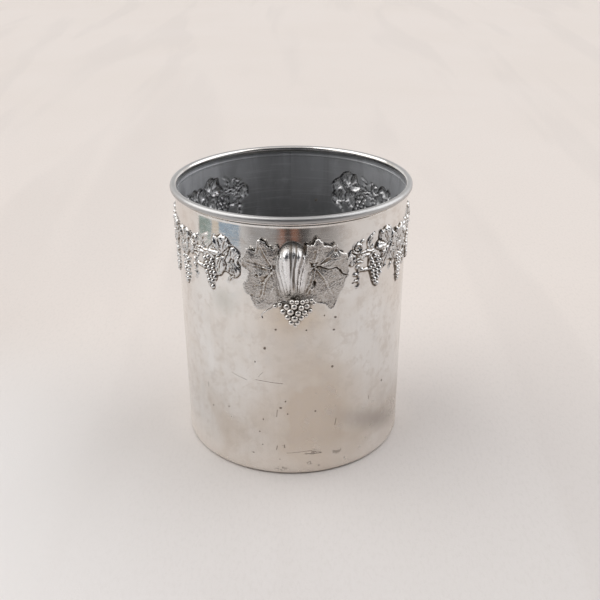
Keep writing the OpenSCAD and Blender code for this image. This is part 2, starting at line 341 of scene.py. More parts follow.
def paint_spray(g, s, seed):
    """One spray from its curled leaflet: vine, tendrils, bunch, big leaf and small leaf."""
    ridge, leaf = painter(g, s)
    ridge([(-6.5, 173.6), (-4, 174.4), (0, 171.6), (5.7, 169.7), (12, 169.4), (20, 170.4),
           (28, 172.6)], 0.75, 1.0, 0.1)
    ridge([(2.4, 171.6), (8, 172.4), (11, 173.6), (14, 175.4)], 0.7, 1.1)
    ridge([(8, 172.6), (12, 171.4), (17, 172.4)], 0.6, 0.9)
    # bud leaf before the curl
    leaf([(-8, 170.6), (-6.6, 173.8), (-4.2, 173), (-2.2, 171.2), (-1, 168.6), (-2, 165.6),
          (-4.4, 163.6), (-6, 165.4), (-8.2, 165.2), (-7.4, 168.2)],
         (-1.6, 170.6), [[(-6.6, 171.6)], [(-5, 165.4)]], 1.3, seed, 8)
    for line in ([(-0.6, 167.8), (2.4, 168.2), (5.6, 166.2)],
                 [(-0.2, 165.6), (2.6, 165.8), (4.8, 164.2)],
                 [(1.4, 170), (4.4, 168.4), (6.4, 168.6)]):
        ridge(line, 0.65, 0.9)
    # the curled leaflet
    g.berry(s + 0.3, 176.2, 4.3, 0.75)
    g.ridge(coil(s + 0.2, 176.2, 4.1, 1.35, math.radians(205), 0.72), 0.75, 1.35, 0.2)
    ridge([(2.6, 179.8), (4.6, 180.6), (5.4, 179)], 0.55, 1.0)
    # twig with two prongs
    ridge([(9.6, 174.6), (8.6, 177.4), (8.8, 179.4), (11, 181.6), (15, 183.9)], 0.6, 1.15, 0.6)
    ridge([(9.4, 176.8), (11.8, 178.6), (13.6, 180)], 0.5, 0.95, 0.6)
    # stub and corkscrew tendril
    ridge([(1.4, 159.8), (4.6, 159.4), (8.6, 158.8)], 0.85, 1.15, -0.1)
    g.ridge(coil(s + 0.4, 161.4, 1.9, 1.0, math.radians(-60), 0.7), 0.5, 1.0, 0.1)
    t = np.linspace(0, 1, 90)
    turn = 2 * math.pi * (0.25 + 3.0 * t)
    wide = 2.3 - 1.0 * t
    g.ridge(np.stack([s - 1.0 + 1.9 * t + wide * np.cos(turn + math.pi),
                      160.6 - 14.4 * t + (1.5 - 0.6 * t) * np.sin(turn)], -1), 0.52, 1.05, 0.25)
    # the bunch, with a leaf behind its top
    leaf([(10, 167.6), (13, 170.4), (17, 170.6), (20.6, 168), (21.6, 160), (20.8, 150),
          (17.6, 145.4), (14.8, 149), (11, 156), (9.8, 162)], (15.6, 168), [], 0.5, seed + 10, 3, 0)
    bunch = [(11.8, 165.2), (15.1, 166.9), (18.2, 165.2), (13.4, 162), (17.2, 162.8),
             (20.2, 162.4), (11.3, 159.1), (15.1, 158.9), (19, 159.2), (13.4, 155.9),
             (17.2, 155.8), (20.5, 156.2), (14.1, 152.8), (17.8, 152.8), (20.8, 153),
             (15.3, 149.7), (18.5, 149.8), (16.4, 147), (18.2, 145.6)]
    for k, (u, z) in enumerate(bunch):
        g.berry(s + u, z, 1.62 + 0.1 * math.sin(3 * k), 2.05 + 0.25 * math.cos(5 * k))
    # big leaf: lower half under the upper one
    leaf([(22.6, 170.4), (22.2, 165.4), (22.0, 159.8), (23.4, 155.6), (27, 157.4), (28.4, 160),
          (31.6, 160.4), (35.4, 163), (34.6, 166.8), (36, 171.2), (30, 173.4)], (28.4, 172.4),
         [[(26, 166), (23.8, 158)], [(29, 167), (29.6, 161.4)], [(32, 168.6), (34.6, 164)]],
         1.8, seed + 20, 8)
    leaf([(20.6, 170), (16.3, 172.4), (17.4, 175.6), (19.8, 177.6), (20.2, 181), (21, 184),
          (24, 183.2), (27, 185.2), (30, 184.4), (32.4, 183.4), (34, 180.4), (36.2, 179),
          (35, 176), (36.4, 172), (33.4, 171.2), (28.6, 171.2), (24.4, 169.6)], (28.2, 172.7),
         [[(23, 177.4), (21.6, 182.6)], [(27.6, 179), (27.6, 184)], [(31.6, 177.4), (34.2, 180)],
          [(22, 173.2), (17.8, 173)]], 2.1, seed + 30, 8)
    ridge([(31, 161.4), (33.4, 160.6), (35.4, 159.4), (36.2, 156.9), (34.6, 154.2)],
          0.55, 0.95, 0.3)
    # small leaf, its stem and tendril
    ridge([(28.9, 172.2), (31.6, 175.2), (34.8, 177.9)], 0.6, 1.1, 0.2)
    leaf([(35.2, 178.2), (38.9, 177.4), (41.8, 174.2), (41, 171.2), (39.8, 167.6), (42.6, 163.8),
          (41, 160), (37.4, 156.6), (34.4, 159), (31, 161), (31.8, 165), (30.4, 168),
          (32.6, 172)], (35.6, 168.4),
         [[(37.4, 173), (38.4, 176.4)], [(38.6, 165), (41, 162.8)], [(36, 163), (37, 158)],
          [(33, 166), (31.8, 163)]], 1.7, seed + 40, 5)
    ridge([(36.7, 157.8), (34.2, 156), (32.6, 154.4), (32.2, 151.8)], 0.5, 0.95, 0.3)


def paint_hanging(g, c, seed):
    """A vine leaf centred at c, with a bunch hanging below it."""
    ridge, leaf = painter(g, c)
    ridge([(-10, 172), (-4, 169.4), (4, 170), (11, 173)], 0.75, 1.0, 0.0)
    leaf([(-9.6, 170), (-8.4, 175), (-5, 180.4), (-1, 178.2), (3, 181), (7.6, 178.2), (8.6, 172),
          (6, 166.4), (3, 161), (-1, 162.4), (-5, 160), (-8, 164)], (-0.6, 170.4),
         [[(-3.4, 175), (-5, 179)], [(2.4, 175), (3.4, 179.6)], [(4.4, 169), (7, 167.6)],
          [(-4.6, 166), (-6.6, 162.6)]], 1.8, seed, 9)
    bunch = [(-3.2, 157.8), (0.2, 158.8), (3.2, 157.2), (-1.6, 154.8), (1.7, 154.4), (-3.4, 152),
             (0.3, 151.4), (3.4, 151.6), (-1.7, 148.4), (1.6, 148.2), (-0.1, 145.2),
             (2.4, 145.4), (-1.4, 142.4), (1, 142), (-0.2, 139.6)]
    leaf([(-3.6, 159.6), (3.6, 159.4), (4.2, 151), (1.6, 141), (-0.6, 138.8), (-2.2, 142),
          (-4.4, 151)], (0, 158), [], 0.5, seed + 5, 3, 0)
    for k, (u, z) in enumerate(bunch):
        g.berry(c + u, z, 1.58 + 0.1 * math.sin(4 * k + 1), 1.95 + 0.25 * math.cos(3 * k))


garland = Raster(36.5, 229.5, 134.5, 189.5, 0.25)
SPRAYS = (46.0, 103.0, 187.8)
for k, c in enumerate((92.0, 150.0, 174.5)):
    paint_hanging(garland, c, 300 + 20 * k)
for k, s in enumerate(SPRAYS):
    paint_spray(garland, s, 100 + 50 * k)
garland_soft = garland.soft(0.25)
garland_wide = garland.soft(1.2)


def emboss(grid, u, z):
    """Height of the garland at any place on the wall, the same on both sides."""
    return garland.sample(grid, np.mod(u, HALF_TURN), z)


# ---------------------------------------------------------------- the wall, one sheet
def columns(*spans):
    """Arc lengths all round the wall: (end, spacing) spans of one half, repeated on the other."""
    out, start = [], -BARE
    for end, spacing in spans:
        out += list(np.linspace(start, end, round((end - start) / spacing) + 1)[:-1])
        start = end
    half = np.array(out)
    return np.concatenate([half, half + HALF_TURN])


def stitch(a, columns_a, b, columns_b):
    """Faces between the rings that start at points a and b: quads, or triangles if they differ."""
    n, m = len(columns_a), len(columns_b)
    if n == m:
        j = np.arange(n)
        k = (j + 1) % n
        return np.stack([a + j, a + k, b + k, b + j], -1).tolist()
    next_a = np.append(columns_a[1:], columns_a[0] + 2 * HALF_TURN)
    next_b = np.append(columns_b[1:], columns_b[0] + 2 * HALF_TURN)
    faces, i, j = [], 0, 0
    while i < n or j < m:
        if j == m or (i < n and next_a[i] <= next_b[j]):
            faces.append([a + i, a + (i + 1) % n, b + j % m])
            i += 1
        else:
            faces.append([a + i % n, b + (j + 1) % m, b + j])
            j += 1
    return faces


def dents(u, z):
    """Slow unevenness of the hand-worked sheet, in mm."""
    return 0.10 * noise(u, z, 38.0, 11) + 0.05 * noise(u, z, 15.0, 12)


def wall_object(material):
    plain = columns((HALF_TURN - BARE, 2.8))
    fine = columns((BARE, 3.0), (80.0, 0.5), (HALF_TURN - 80.0, 0.7), (HALF_TURN - BARE, 0.5))
    inner_fine = columns((BARE, 3.0), (HALF_TURN - BARE, 0.85))
    points, grime_and_shade, gloss, rings = [], [], [], []

    def ring(r_off, z, u, shade=0.0, relief=None, even=1.0):
        """A ring through arc lengths u at height z, standing r_off from the plain outer face."""
        off = np.full(len(u), float(r_off))
        if even:
            off = off + even * dents(u - (u > HALF_TURN) * 2 * HALF_TURN, np.full(len(u), z))
        # each point's darkening: grime, and painted shade from the shade given for its ring
        dirt_and_shade = np.full(len(u), float(shade))
        if relief == "out":
            h = emboss(garland.h, u, z)
            off = off + h
            wide = emboss(garland_wide, u, z)
            dirt_and_shade = dirt_and_shade + np.clip((wide - h - 0.06) / 0.36, 0, 1) * np.clip(wide / 0.25, 0, 1)
        if relief == "in":
            h = emboss(garland_soft, u, z)
            off = off + 1.25 * h
            wide = emboss(garland_wide, u, z)
            # inside, the dark outlines round the embossing and its deepest hollows are painted
            # shade
            rim = np.clip((wide - h - 0.04) / 0.22, 0, 1) * np.clip(wide / 0.2, 0, 1)
            dirt_and_shade = dirt_and_shade + 0.85 * rim + 0.2 * np.clip((h - wide) / 0.5, 0, 1)
        start = sum(len(p) for p in points)
        points.append(place(u, z, off))
        grime_and_shade.append(dirt_and_shade)
        gloss.append(np.clip(emboss(garland_wide, u, z) / 0.3, 0, 1) * (relief is not None))
        rings.append((start, u))

    # flange under the floor, then the turn up into the wall
    ring(-TURN_R - FLANGE_W, SHEET_T, plain, 0.6, even=0)
    ring(-TURN_R - FLANGE_W, 0.25, plain, 0.6, even=0)
    ring(-TURN_R - FLANGE_W + 0.2, 0.0, plain, 0.6, even=0)
    ring(-TURN_R, 0.0, plain, 0.5, even=0)
    for a in np.radians((15, 35, 55, 75)):
        ring(TURN_R * (math.sin(a) - 1), TURN_R * (1 - math.cos(a)), plain, 0.5 * math.cos(a),
             even=0)
    # painted shade: the foot of the wall, like its turn and flange, darkens towards the floor
    for z in (2.8, 4, 6, 9, 13, 18, 26, 36, 50, 66, 82, 98, 112, 124, 132):
        ring(0, z, plain, 0.35 * math.exp(-z / 4), even=min(1, z / 12))
    for z in np.arange(BAND_LOW, BAND_HIGH, 0.66):
        ring(0, z, fine, relief="out")
    for z in (189.5, 191.5, 193.2, 194.4):
        ring(0, z, plain, even=min(1, (196 - z) / 10))
    # a fine swaged ridge with a groove above it
    for z, off, shade in ((195.4, 0.02, 0), (195.8, 0.10, 0), (196.1, 0.16, 0), (196.4, 0.12, 0.1),
                          (196.65, -0.06, 0.42), (196.9, -0.06, 0.42), (197.15, 0.06, 0.1),
                          (197.5, 0.10, 0), (198.1, 0.04, 0.1)):
        ring(off, z, plain, shade, even=0)
    # the rolled bead, from under its outside over the top to its inner lip; its underside is
    # darkened with dirt and painted shade
    bead_c = RIM_R - BEAD_R
    for a in np.radians(np.linspace(-112, 200, 26)):
        z = HEIGHT - 0.02 - BEAD_R + BEAD_R * math.sin(a)
        r = bead_c + BEAD_R * math.cos(a)
        if r < wall_r(z) and a < 0:
            continue
        ring(r - wall_r(z), z, plain, 0.3 * smoothstep(-1.1, -1.6, a), even=0)
    inner = -SHEET_T
    first_inner = sum(len(p) for p in points)
    # dirt and painted shade in a band under the bead's inner lip
    for z, off, shade in ((198.6, inner - 0.35, 0.15), (198.1, inner, 0.4), (197.7, inner, 0.2),
                          (197.2, inner + 0.12, 0), (196.6, inner + 0.16, 0),
                          (196.0, inner + 0.12, 0), (195.5, inner, 0.3),
                          (195.1, inner - 0.05, 0.5), (194.6, inner, 0.1)):
        ring(off, z, plain, shade, even=0)
    for z in (193, 190.5):
        ring(inner, z, plain)
    for z in np.arange(BAND_HIGH, BAND_LOW - 0.1, -1.0):
        ring(inner, z, inner_fine, relief="in")
    # painted shade: the inside darkens towards the floor and most in the corner at the bottom
    for z in (132, 124, 112, 96, 80, 64, 48, 34, 22, 14, 9):
        ring(inner, z, plain, 0.2 * math.exp(-z / 20), even=min(1, z / 30))
    ring(inner, 5.2, plain, 0.6, even=0)
    ring(inner, 2.7, plain, 0.9, even=0)
    ring(-TURN_R, SHEET_T, plain, 0.9, even=0)

    faces = []
    for (a, columns_a), (b, columns_b) in zip(rings, rings[1:] + rings[:1]):
        faces += stitch(a, columns_a, b, columns_b)
    return mesh_object("bucket_wall", np.vstack(points), faces, material,
                       {"grime_and_shade": np.clip(np.concatenate(grime_and_shade), 0, 1),
                        "gloss": np.concatenate(gloss),
                        "inner": np.arange(sum(map(len, points))) >= first_inner}, 60)


# ---------------------------------------------------------------- the handle castings
LEFT_LEAF = [
    (-6, 172), (-7.4, 178), (-7.8, 181), (-8.6, 183.2), (-10.3, 184), (-11.6, 182.4),
    (-12.5, 181), (-13.9, 184), (-14.6, 182.4), (-16.8, 185.2), (-19.5, 187), (-21.5, 187.2),
    (-22.7, 186), (-23.1, 183), (-23.5, 179.6), (-24.6, 178.4), (-27.2, 180), (-29.6, 180.6),
    (-30.6, 179.4), (-30.5, 177.6), (-31.8, 175.4), (-33.8, 173.2), (-35.4, 171), (-34.2, 168.8),
    (-33, 166), (-29.3, 164.6), (-29.2, 162.2), (-30.2, 160.2), (-30.2, 157.8), (-32.2, 155.6),
    (-33, 152.4), (-32.6, 149.2), (-30.6, 147.6), (-28.3, 146), (-27.6, 143), (-26.1, 139.6),
    (-23.8, 136.8), (-21.5, 136.2), (-18.6, 136.7), (-15, 138.4), (-12.3, 140.6), (-7.2, 143),
    (-3.9, 146.2), (-3, 160)
]
RIGHT_UPPER = [
    (6, 170), (8.2, 176), (8.7, 180), (9, 182.4), (9.9, 184), (11.5, 182.9), (12.5, 184.2),
    (13.5, 184), (14.7, 186.2), (16, 188.6), (17.9, 186.8), (19.9, 185), (20.6, 183.2),
    (22.9, 182.6), (25.8, 181.9), (29.5, 183.1), (30.2, 180.6), (31, 177.9), (33.4, 176.4),
    (36.7, 175), (37.4, 172), (38.4, 169), (37.4, 165.8), (38.2, 162.6), (37.3, 159.6),
    (34.8, 160.5), (32.3, 163.5), (28.7, 166.7), (23.6, 166.4), (20.2, 168), (15.8, 168.4),
    (10.3, 165)
]
RIGHT_LOWER = [
    (6, 168), (14, 170), (22, 170), (30, 169), (35, 164), (38, 159), (36.8, 156), (35.6, 152.5),
    (34.3, 149), (32.5, 146.2), (31.4, 142.6), (29.6, 139.1), (28.9, 136.6), (26.6, 135.2),
    (24.2, 136.5), (21.2, 139.4), (18.9, 140.4), (16.1, 141.2), (13.6, 140.6), (9.9, 143),
    (4, 146), (4, 160)
]
LUG_FRONT = [
    (-9, 170), (-8.8, 178), (-8.6, 185), (-7.6, 191), (0, 191.6), (7.6, 191), (8.6, 185),
    (8.8, 178), (9, 170), (10, 158), (7, 147), (3.5, 143), (-3.5, 143), (-7, 147), (-10, 158)
]
# the lug's head turns over between these heights on the casting
HEAD_LOW, HEAD_TOP = 174.5, 191.6
# rows of (height on the casting, share of the lug's reach) and (height, half width)
LUG_RISE = [(142, 0.09), (146, 0.20), (150, 0.32), (155, 0.46), (160, 0.63), (166, 0.81),
            (172, 0.94), (177, 1.0), (192, 1.0)]
LUG_HALF = [(142, 7), (146, 8.6), (152, 10.8), (160, 12.9), (166, 13.4), (170, 12.6), (174, 11.2),
            (178, 9.8), (182, 9.0), (186, 8.6), (192, 8.6)]
# ribs of the lug: rows of (height on the casting, arc length, half width), and how far it stands
RIBS = [
    ([(177, -9.2, 0.9), (168.5, -10.6, 1.7), (163, -9.2, 1.7), (152, -6.6, 1.4),
      (145, -5.0, 1.0)], 0.8),
    ([(192, -7.0, 1.2), (182, -7.1, 1.3), (176, -7.0, 1.7), (170, -7.5, 1.9), (160.5, -5.8, 1.6),
      (152, -4.4, 1.2), (146, -3.4, 0.8)], 1.25),
    ([(192, -4.2, 2.2), (182, -4.2, 2.5), (172.6, -3.9, 2.6), (162, -3.1, 2.0), (155.8, -2.6, 1.5),
      (148, -2.0, 1.0)], 1.7),
    ([(190, 1.0, 1.0), (181, 1.2, 0.9), (173, 0.4, 0.8), (162.6, -0.5, 0.7), (156, -0.8, 0.6)],
     0.5),
    ([(192, 5.2, 2.2), (182.5, 5.0, 2.0), (177, 4.1, 1.5), (170, 2.8, 1.2), (162, 2.3, 0.9),
      (157, 2.4, 0.7), (148, 2.4, 0.6)], 1.5),
    ([(181, 8.0, 0.9), (175, 7.8, 1.1), (170, 6.0, 0.9), (164.5, 4.8, 0.8), (156, 4.2, 0.8),
      (148, 3.8, 0.7)], 1.0),
    ([(177, 9.3, 0.7), (172, 8.4, 0.7), (166, 7.0, 0.7), (156, 5.7, 0.7), (148, 4.9, 0.6)], 0.7),
    ([(174, 11.6, 1.2), (169, 10.4, 2.3), (161, 8.6, 2.1), (152, 7.4, 1.8), (146, 6.4, 1.2)], 0.9)
]
# soft swellings, then pits and folds: height, centre (u, t), size (u, t), lean of its long side
SWELLS = [
    (1.7, -20, 156, 8, 13, 0), (1.8, 23, 154, 8, 12, 0), (1.8, -18, 177, 5, 6, 0),
    (1.3, -29, 172, 4, 5, 0), (1.2, 15.5, 179, 3.5, 6, 0), (1.0, 27, 174, 5, 5, 0),
    (1.3, -10.5, 158, 3, 10, 0), (1.3, 10.5, 158, 3, 10, 0)
]
PITS = [
    (-1.3, -23.0, 161.9, 1.2, 0.8, 0), (0.9, -20.8, 162.0, 1.2, 1.0, 0),
    (0.9, -12.4, 153.4, 0.7, 2.2, 0.35), (-1.6, 14.6, 156.2, 0.8, 2.0, 0),
    (1.1, 12.6, 152.2, 1.3, 1.8, 0), (-0.8, -10.3, 170.6, 0.6, 1.5, 0.9),
    (-0.9, 10.6, 172.3, 0.6, 2.2, -0.95)
]


def humps(u, t, rows):
    """The sum of round humps, one a row."""
    return sum(h * np.exp(-((u - cu - lean * (t - ct)) / wu) ** 2 - ((t - ct) / wt) ** 2)
               for h, cu, ct, wu, wt, lean in rows)


def table(t, rows):
    rows = np.asarray(rows, float)
    return np.interp(t, rows[:, 0], rows[:, 1])


def handle_surface(u, t):
    """The casting: how far inside its edge, its points, its dirt and painted shade, how matt it is,
    how rubbed and painted bright.
    """
    left, left_h = leaf_relief(
        u, t, spline(LEFT_LEAF, 4, True), (-11.3, 166.6),
        [[(-15, 173.8), (-17.3, 178.6), (-20.4, 184.4)],
         [(-13.2, 164.2), (-16.1, 160.4), (-17.5, 157.2), (-19.7, 147.2), (-23.7, 144.6)],
         [(-13.7, 167.9), (-19.7, 168.2), (-28.7, 170.6), (-33.3, 171.4)]],
        1.35, 500, 7, 1.0, ragged=0.5)
    up, up_h = leaf_relief(
        u, t, spline(RIGHT_UPPER, 4, True), (13.4, 169.6),
        [[(14.9, 172), (15.9, 178.2), (16, 186)], [(17.9, 171.2), (23.3, 175.6), (28.4, 180.4)],
         [(20.1, 170), (26.2, 172.3), (35, 172.6)]], 1.3, 520, 6, 0.8, ragged=0.35)
    low, low_h = leaf_relief(
        u, t, spline(RIGHT_LOWER, 4, True), (13.8, 169.1),
        [[(17.9, 164.2), (21.3, 159), (24.2, 151.2), (26.6, 146.5)]], 1.3, 540, 7, 1.0, ragged=0.7)
    for vein, tall in (([(-17.8, 157.3), (-21, 156.4), (-24.6, 154.6)], 0.7),
                       ([(-19.3, 149), (-16.6, 144)], 0.4), ([(-24, 169.2), (-27, 174.6)], 0.45),
                       ([(22.2, 154.6), (28.2, 155.6), (34.1, 156.6)], 0.4),
                       ([(22.8, 153.9), (21.4, 149.8), (20.8, 145.2)], 0.5),
                       ([(11.6, 173), (12.4, 167), (10.8, 159), (8.4, 152)], 1.3),
                       ([(15.4, 167), (13.8, 160), (11.2, 153), (9.6, 149)], 1.0),
                       ([(-12.6, 169), (-11.6, 162), (-9.4, 155), (-8.2, 149)], 1.3)):
        dv, t_v = along(u, t, spline(vein, 5))
        ridge = tall * (1 - 0.5 * t_v) * (np.exp(-(dv / 0.5) ** 2)
                                          - 0.55 * np.exp(-(dv / 1.3) ** 2))
        left_h, low_h = left_h + ridge * (u < 0), low_h + ridge * (u > 0)
    lug = inside_by(u, t, spline(LUG_FRONT, 5, True))
    edge = np.maximum.reduce([left, up, low, lug])

    stand = 0.9 + 0.75 * smoothstep(150, 184, t)
    swell = humps(u, t, SWELLS)
    fill = 0.5 + 1.2 * smoothstep(11, 6, np.abs(u)) * smoothstep(156, 148, t)
    leaf = np.where(left > -1.2, left_h, fill)
    leaf = np.where(low > -1.2, np.maximum(leaf * (u < 0), low_h), leaf)
    leaf = np.maximum(leaf, fill * (np.abs(u) < 9) * (t < 156))
    over = smoothstep(-0.25, 0.25, up)
    crease = np.exp(-(np.minimum(up, 0) / 0.6) ** 2) * (low > 0) * (up < 0.1) * (u > 18)
    leaf = leaf * (1 - over) + (up_h + 0.9) * over - 0.8 * crease
    leaf += humps(u, t, PITS)
    leaf += 0.75 * noise(u, t, 6.0, 571) + 0.12 * noise(u, t, 1.0, 572)

    # the lug: a horn that rises out of the leaves and turns over to the wall at its head
    half = table(t, LUG_HALF)
    side = np.clip(np.abs(u) / half, 0, 1)
    head = smoothstep(168, 179, t)
    part = (head * np.power(1 - np.power(side, 2.6), 0.75)
            + (1 - head) * (0.4 * np.power(1 - side ** 2, 1.1)
                            + 0.3 * (1 + np.cos(math.pi * side))))
    core = smoothstep(0.02, 0.22, part) * smoothstep(141.5, 147, t)
    base = stand + (swell + leaf) * (1 - core) + 0.4 * core
    reach = table(t, LUG_RISE) * (LUG_REACH - 2.8)
    flute = np.zeros_like(u)
    for line, stands in RIBS:
        rows = np.array(line, float)[::-1]
        centre = np.interp(t, rows[:, 0], rows[:, 1])
        wide = np.interp(t, rows[:, 0], rows[:, 2])
        ends = smoothstep(rows[0, 0] - 2, rows[0, 0] + 6, t)
        if rows[-1, 0] < 190:
            ends = ends * smoothstep(rows[-1, 0] + 2, rows[-1, 0] - 5, t)
        round_top = np.power(np.clip(1 - ((u - centre) / wide) ** 2, 0, 1), 0.6)
        flute = np.maximum(flute, stands * ends * round_top)
    comb = np.cos(u * 5.6 + 2.2 * np.sin(t * 0.11)) * smoothstep(149, 156, t)
    streaks = noise(u * 1.7 + 0.05 * t, t * 0.09, 0.8, 563)
    flute = flute + (0.06 * comb + 0.17 * streaks) * core
    tufts = 0.14 * noise(u * 1.5 + (t - 150) * 0.35 * np.sign(u), t * 0.5, 0.8, 560)
    rough = tufts * smoothstep(155, 150, t) * smoothstep(9, 6, np.abs(u))
    inner = smoothstep(0.02, 0.30, part) * smoothstep(143, 150, t)
    h = base * (1 - 0.8 * part) + reach * part + flute * inner + rough

    # over its head the lug turns down to the wall in an arch
    up_by = np.clip((t - HEAD_LOW) / (HEAD_TOP - HEAD_LOW), 0, 1) * math.pi / 2
    arch = 10.6 * np.sqrt(np.clip(1 - (u / 9.6) ** 2, 0, 1))
    w = smoothstep(9.3, 8.6, np.abs(u)) * (t > HEAD_LOW)
    z = t + w * (HEAD_LOW + arch * np.sin(up_by) ** 0.9 - t)
    h = h + w * (0.9 + (h - 0.9) * np.cos(up_by) ** 0.8 - h)
    h = np.maximum(h, 0.85)
    hollow = np.clip((blurred(flute, 4) - flute) / 0.45, 0, 1)
    # painted dark reflections down the lug: a thin line, and a dark middle that narrows downward
    dark_reflection_line = np.exp(-((u + 0.6 - 0.02 * (t - 175)) / 0.55) ** 2) * smoothstep(160, 172, t)
    dark_reflection_width = np.interp(t, [152, 160, 172, 178], [0.6, 1.2, 2.0, 1.4])
    dark_reflection = np.exp(-((u - 0.6) / dark_reflection_width) ** 2) * smoothstep(150, 156, t) * smoothstep(182, 174, t)
    low_spots = np.clip((blurred(leaf, 4) - leaf - 0.06) / 0.4, 0, 1) * (edge > -0.6)
    foot = smoothstep(154, 148, t) * smoothstep(10, 6, np.abs(u))
    flank = smoothstep(6.0, 9.0, np.abs(u))
    # the lug's head, painted darker as a painted dark reflection, and rougher
    crown = smoothstep(177, 187, t) * core
    # grime in the flute grooves, with painted shade heavier on the right side of the lug
    dirt_and_shade = (hollow * inner * (0.16 + 0.26 * smoothstep(-3, 3, u)) * (1 - 0.55 * flank)
            + 0.8 * crease + (0.6 * dark_reflection_line + 0.4 * dark_reflection) * core + 0.24 * crown
            + 0.95 * low_spots * (1 - core) + 0.25 * smoothstep(0.7, 0.0, edge) * (h < 6))
    dirt_and_shade = dirt_and_shade * (1 - 0.9 * foot)
    high_spots = np.clip((leaf - blurred(leaf, 4) - 0.05) / 0.3, 0, 1)
    matt = (1 - core) * smoothstep(0.3, 1.3, edge) + smoothstep(156, 148, t) * core
    matt = matt + 0.45 * flank * core + 0.5 * crown
    matt = matt * (1 - high_spots)
    shine = core * smoothstep(150, 158, t) * (1 - 0.6 * hollow) * smoothstep(11.5, 6.0, np.abs(u))
    shine = shine * (1 - 0.6 * crown)
    return edge, place(u, z, h), np.clip(dirt_and_shade, 0, 1), np.clip(matt, 0, 1), shine


def handle_mesh():
    """Points in mm, faces, dirt and painted shade, matt and shine of a handle casting: a sheet's
    face, back, rim.
    """
    step, thick = 0.42, 1.35
    us, ts = np.arange(-38.5, 44.5, step), np.arange(132.5, 193, step)
    u, t = np.meshgrid(us, ts, indexing="ij")
    edge = handle_surface(u, t)[0]
    gu, gt = np.gradient(edge, step)
    size = np.maximum(np.hypot(gu, gt), 0.3)
    cell = np.maximum.reduce([edge[:-1, :-1], edge[1:, :-1], edge[:-1, 1:], edge[1:, 1:]])
    worst = np.minimum.reduce([edge[:-1, :-1], edge[1:, :-1], edge[:-1, 1:], edge[1:, 1:]])
    keep = (cell > 0.12) & (worst > -1.2)
    # lone cells that touch only at a corner are filled or dropped
    for _ in range(2):
        k = np.pad(keep, 1)
        near = k[:-2, 1:-1].astype(int) + k[2:, 1:-1] + k[1:-1, :-2] + k[1:-1, 2:]
        keep = (keep & (near >= 2)) | (near >= 4)
    out = edge < 0
    move = np.where(out, edge / size ** 2, 0)
    move = np.clip(move, -0.5, 0)
    us2, ts2 = u - move * gu, t - move * gt
    _, face, dirt_and_shade, matt, shine = handle_surface(us2, ts2)
    normal = np.cross(np.gradient(face, axis=0), np.gradient(face, axis=1))
    normal /= np.maximum(np.linalg.norm(normal, axis=-1, keepdims=True), 1e-9)
    outward = face * np.array([1, 1, 0])
    outward /= np.linalg.norm(outward, axis=-1, keepdims=True)
    normal *= np.sign(np.sum(normal * outward, -1, keepdims=True) + 1e-9)
    back = face - thick * normal
    r = np.hypot(back[..., 0], back[..., 1])
    need = wall_r(back[..., 2]) + 0.12
    scale = np.maximum(need / r, 1)
    back[..., 0] *= scale
    back[..., 1] *= scale

    number = np.full(u.shape, -1)
    i, j = np.nonzero(keep)
    corners = [(i, j), (i + 1, j), (i + 1, j + 1), (i, j + 1)]
    used = np.zeros(u.shape, bool)
    for a, b in corners:
        used[a, b] = True
    number[used] = np.arange(used.sum())
    n = int(used.sum())
    q = np.stack([number[a, b] for a, b in corners], -1)
    faces = q.tolist() + (q[:, ::-1] + n).tolist()
    # rim: every edge that belongs to one kept cell only
    sides = np.concatenate([q[:, [0, 1]], q[:, [1, 2]], q[:, [2, 3]], q[:, [3, 0]]])
    seen = {}
    for a, b in sides.tolist():
        seen[(a, b)] = True
    for a, b in list(seen):
        if (b, a) not in seen:
            faces.append([b, a, a + n, b + n])
    points = np.vstack([face[used], back[used]])
    # the back and rim of the casting get an even painted shade
    shade = np.concatenate([dirt_and_shade[used], np.full(n, 0.5)])
    return points, faces, shade, *(np.concatenate([v[used], np.zeros(n)]) for v in (matt, shine))


def tube(points, radii, sides=8):
    """A closed tube along points in mm."""
    p = np.asarray(points, float)
    d = np.gradient(p, axis=0)
    d /= np.linalg.norm(d, axis=1, keepdims=True)
    ref = np.array([0.0, 0.0, 1.0])
    x = np.cross(d, ref)
    x /= np.maximum(np.linalg.norm(x, axis=1, keepdims=True), 1e-6)
    y = np.cross(d, x)
    a = np.linspace(0, 2 * math.pi, sides, endpoint=False)
    ring = (np.cos(a)[None, :, None] * x[:, None] + np.sin(a)[None, :, None] * y[:, None])
    v = p[:, None] + ring * np.asarray(radii)[:, None, None]
    return np.vstack([v.reshape(-1, 3), p[:1], p[-1:]]), closed_rings(len(p), sides)


def ball(centre, r, stretch=1.0, rings=14, sides=20):
    """A grape: a slightly long ball whose poles point up and down."""
    la = np.linspace(-math.pi / 2, math.pi / 2, rings + 1)[1:-1]
    lo = np.linspace(0, 2 * math.pi, sides, endpoint=False)
    x = r * np.cos(la)[:, None] * np.cos(lo)[None]
    y = r * np.cos(la)[:, None] * np.sin(lo)[None]
    z = r * stretch * np.sin(la)[:, None] + np.zeros((1, sides))
    v = np.stack([x, y, z], -1).reshape(-1, 3)
    v = np.vstack([v, [[0, 0, -r * stretch], [0, 0, r * stretch]]]) + np.asarray(centre)
    return v, closed_rings(rings - 1, sides)


